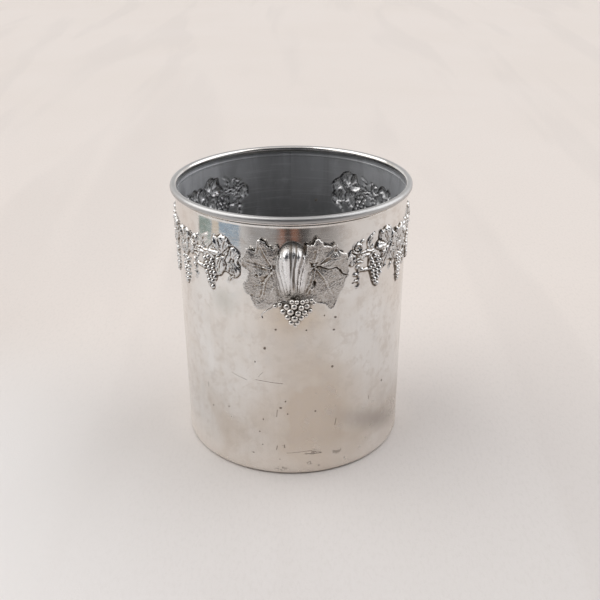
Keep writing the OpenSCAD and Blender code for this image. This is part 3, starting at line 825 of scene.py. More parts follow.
# grapes of a handle's bunch: arc length, height, how far the centre stands off, radius
BUNCH = [
    (-11.6, 139.6, 2.0, 1.7), (-7.8, 141.0, 2.6, 1.9), (-3.4, 140.4, 4.0, 2.3),
    (-0.6, 144.4, 5.0, 1.9), (2.6, 144.2, 4.9, 1.9), (6.4, 144.2, 4.4, 2.1),
    (9.4, 144.0, 3.6, 1.9), (12.4, 144.4, 3.0, 1.9), (1.4, 140.8, 5.0, 2.4),
    (5.4, 140.2, 4.9, 2.3), (9.2, 140.2, 3.8, 2.1), (13.8, 141.6, 2.4, 1.9),
    (-5.8, 136.6, 3.2, 2.2), (-1.2, 136.8, 4.9, 2.4), (3.3, 136.4, 5.0, 2.4),
    (7.6, 136.2, 4.2, 2.2), (11.2, 136.2, 2.6, 1.9), (-3.0, 132.4, 3.8, 2.2),
    (1.3, 132.4, 4.7, 2.4), (5.6, 132.2, 4.0, 2.2), (9.0, 132.8, 2.6, 1.7),
    (-0.4, 128.8, 3.4, 2.1), (3.4, 128.6, 3.5, 2.1), (1.6, 125.8, 2.3, 1.7)
]


def bunch_mesh():
    points, faces, shade = [], [], []
    uneven = np.random.RandomState(77).uniform(-1, 1, (len(BUNCH), 4))
    centres = np.array([place(np.float64(u + 0.35 * e[0]), np.float64(z + 0.35 * e[1]), off)
                        for (u, z, off, _), e in zip(BUNCH, uneven)])
    radii = np.array([r * (1 + 0.07 * e[2]) for (_, _, _, r), e in zip(BUNCH, uneven)])
    count = 0
    for k, (u, z, off, r) in enumerate(BUNCH):
        v, f = ball(centres[k], radii[k], 1.04 + 0.08 * uneven[k, 3])
        gap = np.linalg.norm(v[:, None] - centres[None], axis=-1) - radii[None]
        gap[:, k] = 9
        wall = np.hypot(v[:, 0], v[:, 1]) - wall_r(v[:, 2])
        # grime and painted shade between the grapes and where they meet the wall
        dirt_and_shade = 0.75 * np.exp(-np.maximum(gap.min(1), 0) / 0.5) + 0.8 * smoothstep(2.2, 0.3, wall)
        points.append(v)
        faces += [[i + count for i in q] for q in f]
        shade.append(np.clip(dirt_and_shade, 0, 1))
        count += len(v)
    # backing that the grapes are cast on
    cols, rows = 25, 21
    s, w = np.meshgrid(np.linspace(-1, 1, cols), np.linspace(0, 1, rows), indexing="ij")
    z = 125.6 + 17.2 * w
    mid = 1.6 + 0.2 * w
    half = 2.2 + 11.0 * w ** 0.75
    u = mid + s * half
    bulge = np.sqrt(np.clip(1 - s**2, 0, 1)) * np.sqrt(np.clip(np.sin(
        np.clip(w * 0.86 + 0.12, 0, 1) * math.pi), 0, 1))
    front = place(u, z, 0.5 + 2.6 * bulge).reshape(-1, 3)
    rear = place(u, z, np.full_like(u, 0.15)).reshape(-1, 3)
    n = cols * rows
    for i in range(cols - 1):
        for j in range(rows - 1):
            a, b = i * rows + j + count, (i + 1) * rows + j + count
            faces.append([a, b, b + 1, a + 1])
            faces.append([a + n, a + 1 + n, b + 1 + n, b + n])
    loop = ([j for j in range(rows - 1)] + [i * rows + rows - 1 for i in range(cols - 1)]
            + [(cols - 1) * rows + j for j in range(rows - 1, 0, -1)]
            + [i * rows for i in range(cols - 1, 0, -1)])
    for a, b in zip(loop, loop[1:] + loop[:1]):
        faces.append([a + count, b + count, b + count + n, a + count + n])
    points += [front, rear]
    # the backing is darkened as painted shade behind the grapes
    shade.append(np.full(2 * n, 0.7))
    return np.vstack(points), faces, np.concatenate(shade)


# ---------------------------------------------------------------- materials
class Graph:
    """A node tree with short calls; any input may be a number, a colour or a socket."""

    def __init__(self, name, kind="materials"):
        self.owner = getattr(bpy.data, kind).new(name)
        self.owner.use_nodes = True
        self.tree = self.owner.node_tree
        self.tree.nodes.clear()

    def add(self, kind, inputs=(), out=0, **settings):
        node = self.tree.nodes.new(kind)
        for key, value in settings.items():
            setattr(node, key, value)
        for key, value in dict(inputs).items():
            socket = node.inputs[key]
            if isinstance(value, bpy.types.NodeSocket):
                self.tree.links.new(value, socket)
            elif isinstance(value, (tuple, list)) and len(value) == 3 and socket.type == "RGBA":
                socket.default_value = (*value, 1)
            else:
                socket.default_value = value
        return node.outputs[out]

    def math(self, op, a, b=0.0, c=0.0, clamp=False):
        return self.add("ShaderNodeMath", {0: a, 1: b, 2: c}, operation=op, use_clamp=clamp)

    def mix(self, fac, a, b):
        """Blend two colours."""
        return self.add("ShaderNodeMix", {0: fac, 6: a, 7: b}, out=2, data_type="RGBA")

    def range(self, value, low, high, to_low=0.0, to_high=1.0):
        return self.add("ShaderNodeMapRange", {0: value, 1: low, 2: high, 3: to_low, 4: to_high},
                        interpolation_type="SMOOTHSTEP")

    def noise(self, vector, scale, detail=2.0, rough=0.5, distortion=0.0):
        return self.add("ShaderNodeTexNoise", {
            "Vector": vector, "Scale": scale, "Detail": detail, "Roughness": rough,
            "Distortion": distortion})

    def stretch(self, vector, x, y, z):
        return self.add("ShaderNodeVectorMath", {0: vector, 1: (x, y, z)}, operation="MULTIPLY")

    def bump(self, height, distance, strength=1.0, normal=None):
        inputs = {"Height": height, "Distance": distance, "Strength": strength}
        if normal is not None:
            inputs["Normal"] = normal
        return self.add("ShaderNodeBump", inputs)

    def coords(self):
        return self.add("ShaderNodeTexCoord", out=3)

    def attribute(self, name):
        return self.add("ShaderNodeAttribute", out=2, attribute_name=name)

    def times(self, a, b):
        return self.math("MULTIPLY", a, b)

    def far_from(self, value, centre):
        return self.math("ABSOLUTE", self.math("SUBTRACT", value, centre))

    def length(self, a, b):
        """The length of the flat vector (a, b)."""
        return self.math("SQRT", self.math("ADD", self.times(a, a), self.times(b, b)))

    def split(self, position):
        node = self.tree.nodes.new("ShaderNodeSeparateXYZ")
        self.tree.links.new(position, node.inputs[0])
        return tuple(node.outputs)

    def unrolled(self, position):
        """(arc length, radius, height) in metres from the bucket's axis, as a vector and apart."""
        x, y, z = self.split(position)
        u = self.times(self.math("ARCTAN2", x, self.times(y, -1.0)), MID_R * MM)
        r = self.length(x, y)
        return self.add("ShaderNodeCombineXYZ", {0: u, 1: r, 2: z}), u, r, z

    def finish(self, shader, output="ShaderNodeOutputMaterial"):
        """Ends the tree in this shader and gives its material or world."""
        self.tree.links.new(shader, self.tree.nodes.new(output).inputs[0])
        return self.owner

    def metal(self, colour, rough, normal):
        return self.finish(self.add("ShaderNodeBsdfPrincipled", {
            "Base Color": colour, "Metallic": 1.0, "Roughness": rough, "Normal": normal}))


SILVER = (0.84, 0.83, 0.815)
GRAPE_SILVER = (0.78, 0.745, 0.70)
LEAF_SILVER = (0.64, 0.63, 0.62)
SILVER_COOL = (0.66, 0.655, 0.645)
WARM = (0.64, 0.565, 0.49)
# the darkest colour of grime and of painted shade
TARNISH_AND_SHADE = (0.085, 0.068, 0.052)
BROWN = (0.30, 0.225, 0.155)


def scratch(g, flat, start, end, width):
    """1 on a fine straight scratch between two places on the wall (u, z in mm), 0 off it."""
    a = Vector((start[0] * MM, 0, start[1] * MM))
    line = Vector((end[0] * MM, 0, end[1] * MM)) - a
    rel = g.add("ShaderNodeVectorMath", {0: g.stretch(flat, 1, 0, 1), 1: a},
                operation="SUBTRACT")
    dot = g.add("ShaderNodeVectorMath", {0: rel, 1: line}, out=1, operation="DOT_PRODUCT")
    t = g.math("DIVIDE", dot, line.length_squared, clamp=True)
    near = g.add("ShaderNodeVectorMath", {0: line, "Scale": t}, operation="SCALE")
    d = g.add("ShaderNodeVectorMath", {0: rel, 1: near}, out=1, operation="DISTANCE")
    return g.range(d, 0.0, width * MM, 1.0, 0.0)


def patch(g, u, z, centre, size):
    """A soft round patch on the wall, 1 at its centre (u, z in mm)."""
    du, dz = (g.math("DIVIDE", g.math("SUBTRACT", value, at * MM), reach * MM)
              for value, at, reach in zip((u, z), centre, size))
    return g.range(g.length(du, dz), 0.0, 1.0, 1.0, 0.0)


def most(g, values):
    out = values[0]
    for v in values[1:]:
        out = g.math("MAXIMUM", out, v)
    return out


def outer_tones(g, pos, cloud, mottle):
    """The wall's outside: silver that has yellowed, clouded and streaked, with painted shade and a
    painted reflection.
    """
    flat, u, _, z = g.unrolled(pos)
    # the metal is warmer low on the wall, where its lacquer has yellowed
    low = g.range(z, 0.15, 0.0)
    warm = g.times(g.range(cloud, 0.38, 0.66), g.math("MULTIPLY_ADD", low, 0.5, 0.3))
    warm = g.math("MULTIPLY_ADD", patch(g, u, z, (4, 40), (62, 120)), 0.75, warm, clamp=True)
    gold = g.times(patch(g, u, z, (1, 131), (36, 24)), g.range(cloud, 0.3, 0.6))
    colour = g.mix(warm, SILVER, WARM)
    colour = g.mix(g.times(gold, 0.55), colour, (0.62, 0.49, 0.35))
    # a brown stain round the handle, partly painted shade where the casting meets the wall
    stain = g.times(patch(g, u, z, (2, 148), (46, 24)), g.range(mottle, 0.38, 0.56))
    colour = g.mix(g.times(stain, 0.5), colour, (0.42, 0.34, 0.26))
    colour = g.mix(g.range(mottle, 0.52, 0.78, 0.0, 0.30), colour, SILVER_COOL)
    # finer blotches, upright streaks, and a painted reflection of the cloth's shadow low on the
    # right
    blotch = g.noise(pos, 110.0, 6.0, 0.75, 0.3)
    colour = g.mix(g.range(blotch, 0.49, 0.60, 0.0, 0.42), colour, (0.62, 0.56, 0.51))
    streak = g.noise(g.stretch(flat, 260.0, 1.0, 14.0), 1.0, 4.0, 0.65)
    streaky = g.times(g.range(streak, 0.48, 0.68, 0.0, 0.13), g.range(z, 0.16, 0.13))
    colour = g.mix(streaky, colour, (0.60, 0.52, 0.44))
    slant = g.math("MULTIPLY_ADD", u, 0.45, z)
    colour = g.mix(g.times(patch(g, u, slant, (74, 62), (62, 15)), 0.68), colour,
                   (0.42, 0.385, 0.36))
    return g.mix(g.times(patch(g, u, z, (-50, 137), (17, 15)), 0.4), colour, (0.44, 0.45, 0.41))


def inner_tones(g, pos, mottle, gloss):
    """The wall's inside: grey, dripped and stained, with painted shade lower down and a painted
    highlight on its embossing.
    """
    flat, u, _, z = g.unrolled(pos)
    drips = g.noise(g.stretch(flat, 60.0, 1.0, 14.0), 1.0, 5.0, 0.65, 0.8)
    # painted shade: the inside darkens lower down
    grey = g.mix(g.range(z, 0.195, 0.12), (0.87, 0.885, 0.915), (0.47, 0.475, 0.485))
    grey = g.mix(g.range(drips, 0.35, 0.7, 0.0, 0.7), grey,
                 g.mix(0.45, grey, (0.30, 0.30, 0.31)))
    # painted shade: the inside is darker towards the front and back than at the sides
    across = g.math("ABSOLUTE", g.math("SINE", g.math("DIVIDE", u, MID_R * MM)))
    grey = g.mix(g.range(across, 0.45, 0.95, 0.34, 0.0), grey, (0.10, 0.10, 0.10))
    grey = g.mix(g.range(mottle, 0.55, 0.75, 0.0, 0.3), grey, (0.78, 0.79, 0.81))
    lathe = g.noise(g.stretch(flat, 14.0, 1.0, 420.0), 1.0, 4.0, 0.7)
    grey = g.mix(g.range(lathe, 0.5, 0.72, 0.0, 0.45), grey, (0.80, 0.81, 0.83))
    # painted highlight: the embossing is painted near white
    return g.mix(gloss, grey, (0.97, 0.975, 0.985))


def pits_and_marks(g, pos, outside):
    """1 in the pits, scratches and scuffs of the wall's outside."""
    flat, u, _, z = g.unrolled(pos)
    # pits: small dark specks, most of them on the lower wall
    cells, chance = (g.add("ShaderNodeTexVoronoi", {"Vector": pos, "Scale": 105.0}, out=out)
                     for out in (0, 1))
    pick = g.add("ShaderNodeSeparateColor", {0: chance})
    speck = g.times(g.range(cells, 0.05, 0.14, 1.0, 0.0), g.range(pick, 0.90, 0.93))
    speck = g.times(speck, g.times(outside, g.range(z, 0.132, 0.100, 0.12, 1.0)))
    named = most(g, [patch(g, u, z, c, s) for c, s in (
        ((-66, 46), (1.1, 0.9)), ((-50, 51), (0.9, 1.1)), ((-9, 58), (1.7, 1.1)),
        ((-5.5, 63.5), (1.0, 0.8)), ((-4, 53), (0.9, 0.9)), ((-22, 47), (0.8, 1.2)),
        ((-25, 36), (1.0, 0.9)), ((-23, 25), (0.9, 0.9)), ((16, 54.5), (1.2, 0.9)),
        ((29, 118.5), (1.5, 1.0)), ((9.5, 120.5), (0.9, 0.8)), ((-27, 94), (0.9, 1.0)),
        ((30, 128), (1.6, 1.2)), ((22, 130.5), (0.8, 0.9)), ((-11.5, 121), (1.2, 1.0)),
        ((43, 151), (1.9, 0.9)))])
    lines = most(g, [scratch(g, flat, a, b, w) for a, b, w in (
        ((-46, 81), (-34, 78), 0.20), ((-27, 79.5), (-7, 78), 0.20), ((-25, 82), (-21.5, 86), 0.14),
        ((-70.5, 64), (-70.5, 60), 0.30), ((-11.5, 56), (-12, 50.5), 0.36),
        ((32, 45), (31, 40), 0.36), ((61, 55), (61.5, 51.5), 0.28), ((-12, 25), (-12.5, 22), 0.5),
        ((-5, 19), (17, 21), 0.20), ((9, 18), (21, 17.5), 0.34))])
    scuff_at = most(g, [patch(g, u, z, c, s) for c, s in (
        ((-9, 5), (9, 3.5)), ((12, 10), (6, 3)), ((14, 18.5), (11, 2.5)), ((33, 16.5), (6, 4)),
        ((-30, 16), (3, 2)), ((-6, 25), (4, 2.5)))])
    scuff = g.times(scuff_at, g.range(g.noise(pos, 420.0, 3.0, 0.65), 0.50, 0.58))
    marks = g.times(most(g, [named, lines, scuff]), outside)
    return g.math("MAXIMUM", marks, speck)


def wall_material():
    g = Graph("aged_silver_wall")
    pos = g.coords()
    flat, _, r, z = g.unrolled(pos)
    grime_and_shade, gloss, inside = (g.attribute(name) for name in ("grime_and_shade", "gloss", "inner"))
    cloud = g.noise(pos, 16.0, 4.0, 0.55, 0.4)
    mottle = g.noise(pos, 95.0, 5.0, 0.6)
    grain = g.noise(pos, 700.0, 3.0, 0.6)
    colour = g.mix(g.times(gloss, 0.8), outer_tones(g, pos, cloud, mottle), (0.70, 0.71, 0.72))
    colour = g.mix(inside, colour, inner_tones(g, pos, mottle, gloss))
    # grime in and around the embossing, with painted shade at the foot, under the bead and inside
    # the wall
    dirt_and_shade = g.times(grime_and_shade, g.range(grain, 0.15, 0.6, 0.75, 1.0))
    colour = g.mix(g.range(dirt_and_shade, 0.05, 0.5, 0.0, 0.75), colour,
                   g.mix(inside, BROWN, (0.26, 0.26, 0.27)))
    colour = g.mix(g.range(dirt_and_shade, 0.35, 0.95, 0.0, 0.95), colour,
                   g.mix(inside, TARNISH_AND_SHADE, (0.05, 0.05, 0.055)))
    dark = pits_and_marks(g, pos, g.math("SUBTRACT", 1.0, inside))
    colour = g.mix(g.range(dark, 0.1, 0.6, 0.0, 0.85), colour, (0.15, 0.115, 0.09))
    # the rim's bead is greyer, and the foot of the wall lighter where it mirrors the cloth
    bead = g.times(g.range(z, 0.1975, 0.199), g.range(r, 0.0838, 0.0848))
    worn = g.range(mottle, 0.5, 0.7, 0.0, 0.5)
    tin = g.mix(cloud, (0.54, 0.54, 0.545), (0.47, 0.465, 0.46))
    colour = g.mix(bead, colour, g.mix(worn, tin, (0.46, 0.45, 0.44)))
    colour = g.mix(g.range(z, 0.035, 0.0, 0.0, 0.5), colour,
                   g.mix(inside, (0.96, 0.90, 0.83), colour))
    # roughness: satin, duller under grime and painted shade or where clouded, clearer near the rim
    rough = g.math("MULTIPLY_ADD", cloud, 0.12, g.range(mottle, 0.3, 0.7, 0.09, 0.15))
    rough = g.math("ADD", rough, g.range(dirt_and_shade, 0.0, 0.8, 0.0, 0.3))
    rough = g.math("ADD", rough, g.range(z, 0.06, 0.185, 0.06, -0.085))
    dull = g.math("MULTIPLY_ADD", gloss, -0.08, 0.42)
    rough = g.math("ADD", rough, g.times(inside, dull))
    rough = g.math("MULTIPLY_ADD", bead, 0.27, rough)
    # polishing lines run round the wall
    fine = g.noise(g.stretch(flat, 60.0, 900.0, 2600.0), 1.0, 3.0, 0.6)
    brushed = g.noise(g.stretch(flat, 500.0, 900.0, 40.0), 1.0, 3.0, 0.6)
    ripple = g.noise(pos, 45.0, 2.0, 0.5)
    normal = g.bump(ripple, 0.0006, 0.35)
    normal = g.bump(fine, 0.00006, 0.45, normal)
    normal = g.bump(brushed, 0.00004, 0.35, normal)
    normal = g.bump(g.times(dark, -1.0), 0.0003, 0.8, normal)
    normal = g.bump(grain, 0.00012, g.range(grime_and_shade, 0.0, 0.8, 0.05, 0.6), normal)
    return g.metal(colour, rough, normal)


def cast_material(name, grain_size, polish, clean, stippled):
    """Cast silver: bright where hands rub it and with painted highlights, brown-grey in the hollows
    and with painted shade, finely pitted.
    """
    g = Graph(name)
    pos = g.coords()
    grime_and_shade = g.attribute("grime_and_shade")
    matt = g.attribute("matt")
    cloud = g.noise(pos, 60.0, 4.0, 0.6, 0.3)
    grain = g.noise(pos, grain_size, 4.0, 0.65)
    stipple = g.add("ShaderNodeTexVoronoi", {"Vector": pos, "Scale": grain_size * 1.1},
                    feature="SMOOTH_F1")
    point = g.add("ShaderNodeNewGeometry", out=7)
    edge = g.range(point, 0.50, 0.56)
    dirt_and_shade = g.math("ADD", g.times(grime_and_shade, g.range(grain, 0.2, 0.7, 0.8, 1.15)),
                  g.range(cloud, 0.5, 0.8, 0.0, 0.22))
    dirt_and_shade = g.math("SUBTRACT", dirt_and_shade, g.times(edge, 0.25), clamp=True)
    shine = g.attribute("shine")
    colour = g.mix(g.range(cloud, 0.35, 0.7, 0.0, 0.6), clean, (0.54, 0.51, 0.48))
    # rubbed polish on the lug, painted near white as a painted sheen
    colour = g.mix(shine, colour, (0.90, 0.905, 0.92))
    pricks = g.times(g.range(stipple, 0.25, 0.55, 0.2, 0.9), matt)
    colour = g.mix(pricks, colour, (0.46, 0.43, 0.40))
    # grime, together with painted shade and painted dark reflections
    colour = g.mix(g.range(dirt_and_shade, 0.06, 0.5, 0.0, 0.7), colour,
                   g.mix(shine, BROWN, (0.24, 0.24, 0.25)))
    colour = g.mix(g.range(dirt_and_shade, 0.4, 1.0, 0.0, 0.95), colour, TARNISH_AND_SHADE)
    # rubbed edges, painted brighter as a painted highlight
    colour = g.mix(g.times(edge, 0.5), colour, (0.84, 0.825, 0.81))
    rough = g.math("ADD", g.range(grain, 0.3, 0.7, polish, polish + 0.08),
                   g.range(dirt_and_shade, 0.0, 0.8, 0.0, 0.32))
    rough = g.math("MULTIPLY_ADD", matt, 0.05, g.math("MULTIPLY_ADD", shine, 0.10, rough))
    normal = g.bump(cloud, 0.0004, 0.25)
    strokes = g.noise(g.stretch(pos, 2200.0, 2200.0, 700.0), 1.0, 3.0, 0.6)
    hatch = g.math("SUBTRACT", strokes, stipple)
    normal = g.bump(hatch, 0.00040, g.times(matt, stippled), normal)
    normal = g.bump(grain, 0.00012, 0.5, normal)
    return g.metal(colour, rough, normal)


def floor_plate_material():
    """Dull spun sheet: rings from the lathe, water marks and a fine grain."""
    g = Graph("dull_floor_plate")
    pos = g.coords()
    flat, _, r, _ = g.unrolled(pos)
    cloud = g.noise(pos, 26.0, 5.0, 0.6, 0.6)
    grain = g.noise(pos, 500.0, 3.0, 0.6)
    rings = g.noise(g.stretch(flat, 0.4, 1500.0, 0.0), 1.0, 2.0, 0.6)
    edge = g.range(r, 0.070, 0.081)
    stain = g.math("ADD", g.range(cloud, 0.45, 0.75, 0.0, 0.5), g.times(edge, 0.5))
    colour = g.mix(stain, (0.52, 0.50, 0.47), (0.24, 0.20, 0.16))
    rough = g.math("ADD", g.range(cloud, 0.3, 0.7, 0.24, 0.42), g.range(grain, 0.3, 0.7, 0, 0.06))
    normal = g.bump(rings, 0.00010, 0.5)
    normal = g.bump(grain, 0.00010, 0.4, normal)
    return g.metal(colour, rough, normal)


def wire_material():
    g = Graph("drawn_wire")
    pos = g.coords()
    flat = g.unrolled(pos)[0]
    lines = g.noise(g.stretch(flat, 30.0, 2500.0, 2500.0), 1.0, 3.0, 0.6)
    rust = g.noise(pos, 240.0, 4.0, 0.6)
    colour = g.mix(g.range(rust, 0.52, 0.7), (0.36, 0.36, 0.37), (0.16, 0.09, 0.05))
    rough = g.range(rust, 0.4, 0.7, 0.32, 0.6)
    return g.metal(colour, rough, g.bump(lines, 0.00008, 0.6))


def pin_material():
    g = Graph("filed_pin")
    pos = g.coords()
    file_marks = g.noise(g.stretch(pos, 2600.0, 300.0, 500.0), 1.0, 3.0, 0.6)
    cloud = g.noise(pos, 300.0, 3.0, 0.5)
    colour = g.mix(g.range(cloud, 0.35, 0.7), (0.55, 0.53, 0.50), (0.26, 0.22, 0.18))
    rough = g.range(cloud, 0.3, 0.7, 0.28, 0.5)
    return g.metal(colour, rough, g.bump(file_marks, 0.00010, 0.7))


def cloth_material():
    """The pale cloth that the bucket stands on."""
    g = Graph("pale_cloth")
    pos = g.coords()
    fold = g.noise(pos, 2.2, 4.0, 0.55, 0.6)
    weave = g.noise(pos, 900.0, 2.0, 0.5)
    x, y, _ = g.split(pos)
    near = g.mix(g.range(fold, 0.35, 0.7), (0.69, 0.66, 0.65), (0.67, 0.64, 0.625))
    far = g.mix(g.range(fold, 0.35, 0.7), (0.735, 0.677, 0.641), (0.722, 0.662, 0.622))
    colour = g.mix(g.range(y, -0.25, 0.25), near, far)
    # painted shade of soft creases that run away from the front edge
    creases = g.noise(g.stretch(pos, 7.0, 0.8, 1.0), 1.0, 3.0, 0.5, 0.5)
    colour = g.mix(g.range(creases, 0.50, 0.62, 0.0, 0.22), colour, (0.60, 0.555, 0.53))
    thread = g.noise(g.stretch(pos, 420.0, 160.0, 1.0), 1.0, 5.0, 0.75)
    colour = g.mix(g.range(thread, 0.46, 0.66, 0.0, 0.22), colour, (0.56, 0.525, 0.50))
    # painted light: the cloth's left front is painted paler
    lit = g.times(g.range(x, -0.02, -0.26), g.range(y, 0.2, -0.1))
    colour = g.mix(lit, colour, (0.79, 0.765, 0.755))
    normal = g.bump(fold, 0.01, 0.12)
    normal = g.bump(weave, 0.0004, 0.3, normal)
    return g.finish(g.add("ShaderNodeBsdfPrincipled", {
        "Base Color": colour, "Roughness": 0.85, "Normal": normal}))


def room_material():
    """What the metal mirrors beyond the cloth: dark floor, two terracotta stripes, a blue rug."""
    g = Graph("room_around")
    pos = g.coords()
    _, u, r, _ = g.unrolled(pos)
    x = g.split(pos)[0]
    turn = g.math("DIVIDE", u, MID_R * MM)
    ring = g.times(g.range(r, 0.42, 0.50), g.range(r, 1.5, 1.3))
    centre = g.range(g.far_from(turn, 0.03), 0.62, 0.10)
    sides = g.range(g.far_from(turn, -0.02), 1.10, 0.50, 0.0, 0.66)
    front = g.times(ring, g.math("MAXIMUM", centre, sides))
    stripes = g.math("MAXIMUM", *(g.range(g.far_from(x, at), 0.035, 0.022)
                                  for at in (-0.085, 0.028)))
    colour = g.mix(stripes, (0.03, 0.025, 0.023), (0.205, 0.09, 0.055))
    side = g.times(g.range(g.far_from(turn, -1.24), 0.43, 0.40),
                   g.times(g.range(r, 0.495, 0.515), g.range(r, 0.80, 0.72)))
    rug = g.mix(g.range(g.far_from(turn, -1.285), 0.085, 0.070),
                (0.24, 0.32, 0.40), (0.55, 0.48, 0.40))
    rug = g.mix(g.range(turn, -1.37, -1.39), rug, (0.24, 0.31, 0.29))
    shown = g.add("ShaderNodeBsdfPrincipled", {
        "Base Color": g.mix(side, colour, rug), "Roughness": 0.85})
    clear = g.add("ShaderNodeBsdfTransparent")
    return g.finish(g.add("ShaderNodeMixShader",
                          {0: g.math("MAXIMUM", front, side), 1: clear, 2: shown}))


# ---------------------------------------------------------------- pieces
def floor_plate_object(material):
    """The pan inside the bottom of the wall, with its raised centre and turned-up edge."""
    top = [(0.01, 4.0), (14, 3.98), (30, 4.02), (46, 4.0), (58, 3.98), (61.5, 3.9), (64, 3.55),
           (66.5, 2.95), (69.5, 2.5), (72.5, 2.42), (76, 2.42), (79, 2.6), (80.6, 3.4), (81.2, 4.6),
           (81.25, 4.85)]
    under = [(81.7, 5.0), (PAN_R - 0.1, 4.9), (PAN_R, 4.5), (PAN_R, 3.6), (PAN_R - 0.8, 2.2),
             (PAN_R - 2.6, 1.25), (74, 1.25), (70, 1.3), (67, 1.7), (64.5, 2.3), (62, 2.7),
             (58, 2.8), (46, 2.8), (30, 2.8), (14, 2.8), (0.01, 2.8)]
    rows = top + under
    sides = 160
    a = np.linspace(0, 2 * math.pi, sides, endpoint=False)
    points = []
    for r, z in rows:
        lift = 0.06 * np.sin(3 * a + 0.4) * (r / 60) * (r < 60) if 5 < r < 60 else 0 * a
        points.append(np.stack([r * np.cos(a), r * np.sin(a), z + lift], -1))
    faces = ring_faces(len(rows), sides)
    faces += [list(range(sides))[::-1], [(len(rows) - 1) * sides + k for k in range(sides)]]
    outward = [f[::-1] for f in faces]
    return mesh_object("floor_plate_pan", np.vstack(points), outward, material, None, 50)


def keep(obj, node, slot_name):
    """The piece stands for a CAD node and rides with the bucket."""
    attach(obj, "root")
    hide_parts(node)


wall = wall_object(wall_material())
keep(wall, "wall", "wall")
pan = floor_plate_object(floor_plate_material())
keep(pan, "floor_plate", "floor_plate")

leaf_silver = cast_material("cast_silver_leaf", 780.0, 0.12, LEAF_SILVER, 0.9)
grape_silver = cast_material("cast_silver_grape", 700.0, 0.11, GRAPE_SILVER, 0.0)
# the leaf casting, and the loose tendril cast with it at its lower left
points, faces, shade, matt, shine = handle_mesh()
tendril_line = place(*[np.array(c, float) for c in zip(
    *spline([(-12, 139.4), (-14, 137.4), (-17, 135.4), (-20, 133), (-21.3, 130.6),
             (-20.4, 129.0)], 5))], 0.35)
tendril, tendril_faces = tube(tendril_line, np.linspace(0.62, 0.32, len(tendril_line)))
faces = faces + [[i + len(points) for i in f] for f in tendril_faces]
points = np.vstack([points, tendril])
shade = np.concatenate([shade, np.full(len(tendril), 0.35)])
matt, shine = (np.concatenate([v, np.zeros(len(tendril))]) for v in (matt, shine))
for side, spin in (("front", lambda p: p), ("back", turned)):
    casting = mesh_object(side + "_handle_casting", spin(points), faces, leaf_silver,
                          {"grime_and_shade": shade, "matt": matt, "shine": shine}, 55)
    keep(casting, side + "_handle", "handle")
grape_points, grape_faces, grape_shade = bunch_mesh()
for side, spin in (("front", lambda p: p), ("back", turned)):
    bunch = mesh_object(side + "_grape_bunch", spin(grape_points), grape_faces, grape_silver,
                        {"grime_and_shade": grape_shade}, 70)
    keep(bunch, side + "_grapes", "grapes")

for node, material in (("rim_wire", wire_material()), ("front_pins", pin_material()),
                       ("back_pins", pin_material())):
    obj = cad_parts[node]
    if not obj.data.materials:
        obj.data.materials.append(material)
    for slot in obj.material_slots:
        slot.material = material


# ---------------------------------------------------------------- floor and light
def stage_object(name, points, faces, material, *hidden_from):
    """A flat-shaded piece of the surroundings, hidden from the rays named."""
    mesh = bpy.data.meshes.new(name)
    mesh.from_pydata(points, [], faces)
    mesh.materials.append(material)
    obj = bpy.data.objects.new(name, mesh)
    for ray in hidden_from:
        setattr(obj, "visible_" + ray, False)
    bpy.context.scene.collection.objects.link(obj)
    return obj


def square(half, z):
    return [(x * half, y * half, z) for x, y in ((-1, -1), (1, -1), (1, 1), (-1, 1))]


def add_floor():
    floor = stage_object("floor", square(9, 0), [(0, 1, 2, 3)], cloth_material())


def add_room():
    """A flat card just above the cloth that shows only in reflections and casts no shadow."""
    card = stage_object("room_card", square(1.6, 0.0006), [(0, 1, 2, 3)], room_material(),
                        "camera", "diffuse", "shadow")


def add_backdrop():
    """A pale wall all round that only the camera sees, so that the metal mirrors the dim room."""
    radius, top, sides = 8.5, 9.0, 64
    a = np.linspace(0, 2 * math.pi, sides, endpoint=False)
    points = [(radius * math.cos(t), radius * math.sin(t), z) for z in (0.0, top) for t in a]
    g = Graph("pale_backdrop")
    height = g.range(g.split(g.coords())[2], 0.0, 5.0)
    pale = g.mix(height, (0.78, 0.71, 0.67), (0.70, 0.66, 0.64))
    material = g.finish(g.add("ShaderNodeEmission", {0: pale}))
    material.cycles.emission_sampling = "NONE"
    wall_round = stage_object("backdrop", points, ring_faces(2, sides), material,
                              "diffuse", "glossy", "transmission", "shadow")


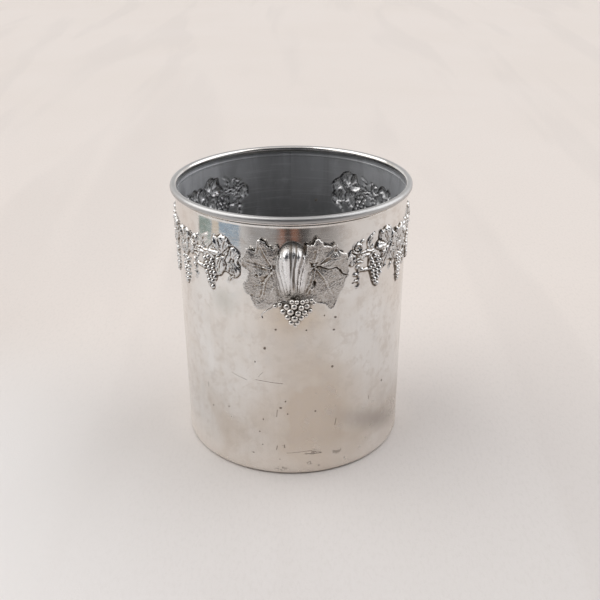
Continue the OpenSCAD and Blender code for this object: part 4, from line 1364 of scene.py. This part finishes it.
def add_sun(name, towards, strength, angle, colour):
    """A broad soft light from a direction given as a point above the floor."""
    data = bpy.data.lights.new(name, "SUN")
    data.energy = strength
    data.angle = math.radians(angle)
    data.color = colour
    obj = bpy.data.objects.new(name, data)
    obj.rotation_mode = "QUATERNION"
    obj.rotation_quaternion = Vector(towards).to_track_quat("Z", "Y")
    bpy.context.scene.collection.objects.link(obj)


def add_world():
    """A dim room in front and above, and a paler one behind."""
    g = Graph("room", "worlds")
    direction = g.add("ShaderNodeTexCoord")
    _, y, z = g.split(direction)

    def ramp(stops):
        out = g.add("ShaderNodeValToRGB", {0: z})
        elements = out.node.color_ramp.elements
        elements[0].position = stops[0][0]
        elements[1].position = stops[-1][0]
        for pos, _ in stops[1:-1]:
            elements.new(pos)
        for element, (pos, level) in zip(elements, stops):
            element.color = (level, level * 0.985, level * 0.97, 1)
        return out

    rear = ramp([(0.0, 0.84), (0.45, 0.78), (0.75, 0.52), (1.0, 0.46)])
    front = ramp([(0.0, 0.05), (0.2, 0.07), (0.55, 0.22), (1.0, 0.46)])
    room = g.mix(g.add("ShaderNodeMapRange", {0: y, 1: -0.35, 2: 0.25}), front, rear)
    # the dark end of the room, straight in front and a little up
    towards = g.add("ShaderNodeVectorMath", {0: direction, 1: (0, -0.97, 0.24)}, out=1,
                    operation="DOT_PRODUCT")
    dark = g.add("ShaderNodeMapRange", {0: towards, 1: 0.58, 2: 0.86})
    shown = g.add("ShaderNodeBackground", {0: g.mix(dark, room, (0.045, 0.047, 0.055))})
    bpy.context.scene.world = g.finish(shown, "ShaderNodeOutputWorld")


add_floor()
add_backdrop()
add_room()
add_world()
add_sun("key", (-1.0, -0.05, 1.0), 1.50, 68, (1.0, 0.985, 0.965))
add_sun("fill", (1.0, 0.15, 0.85), 1.14, 66, (0.985, 0.985, 1.0))
add_sun("top", (0.0, -0.1, 1.0), 0.3, 70, (1.0, 0.99, 0.98))
bpy.context.scene.view_settings.view_transform = "Standard"
bpy.context.scene.view_settings.look = "None"
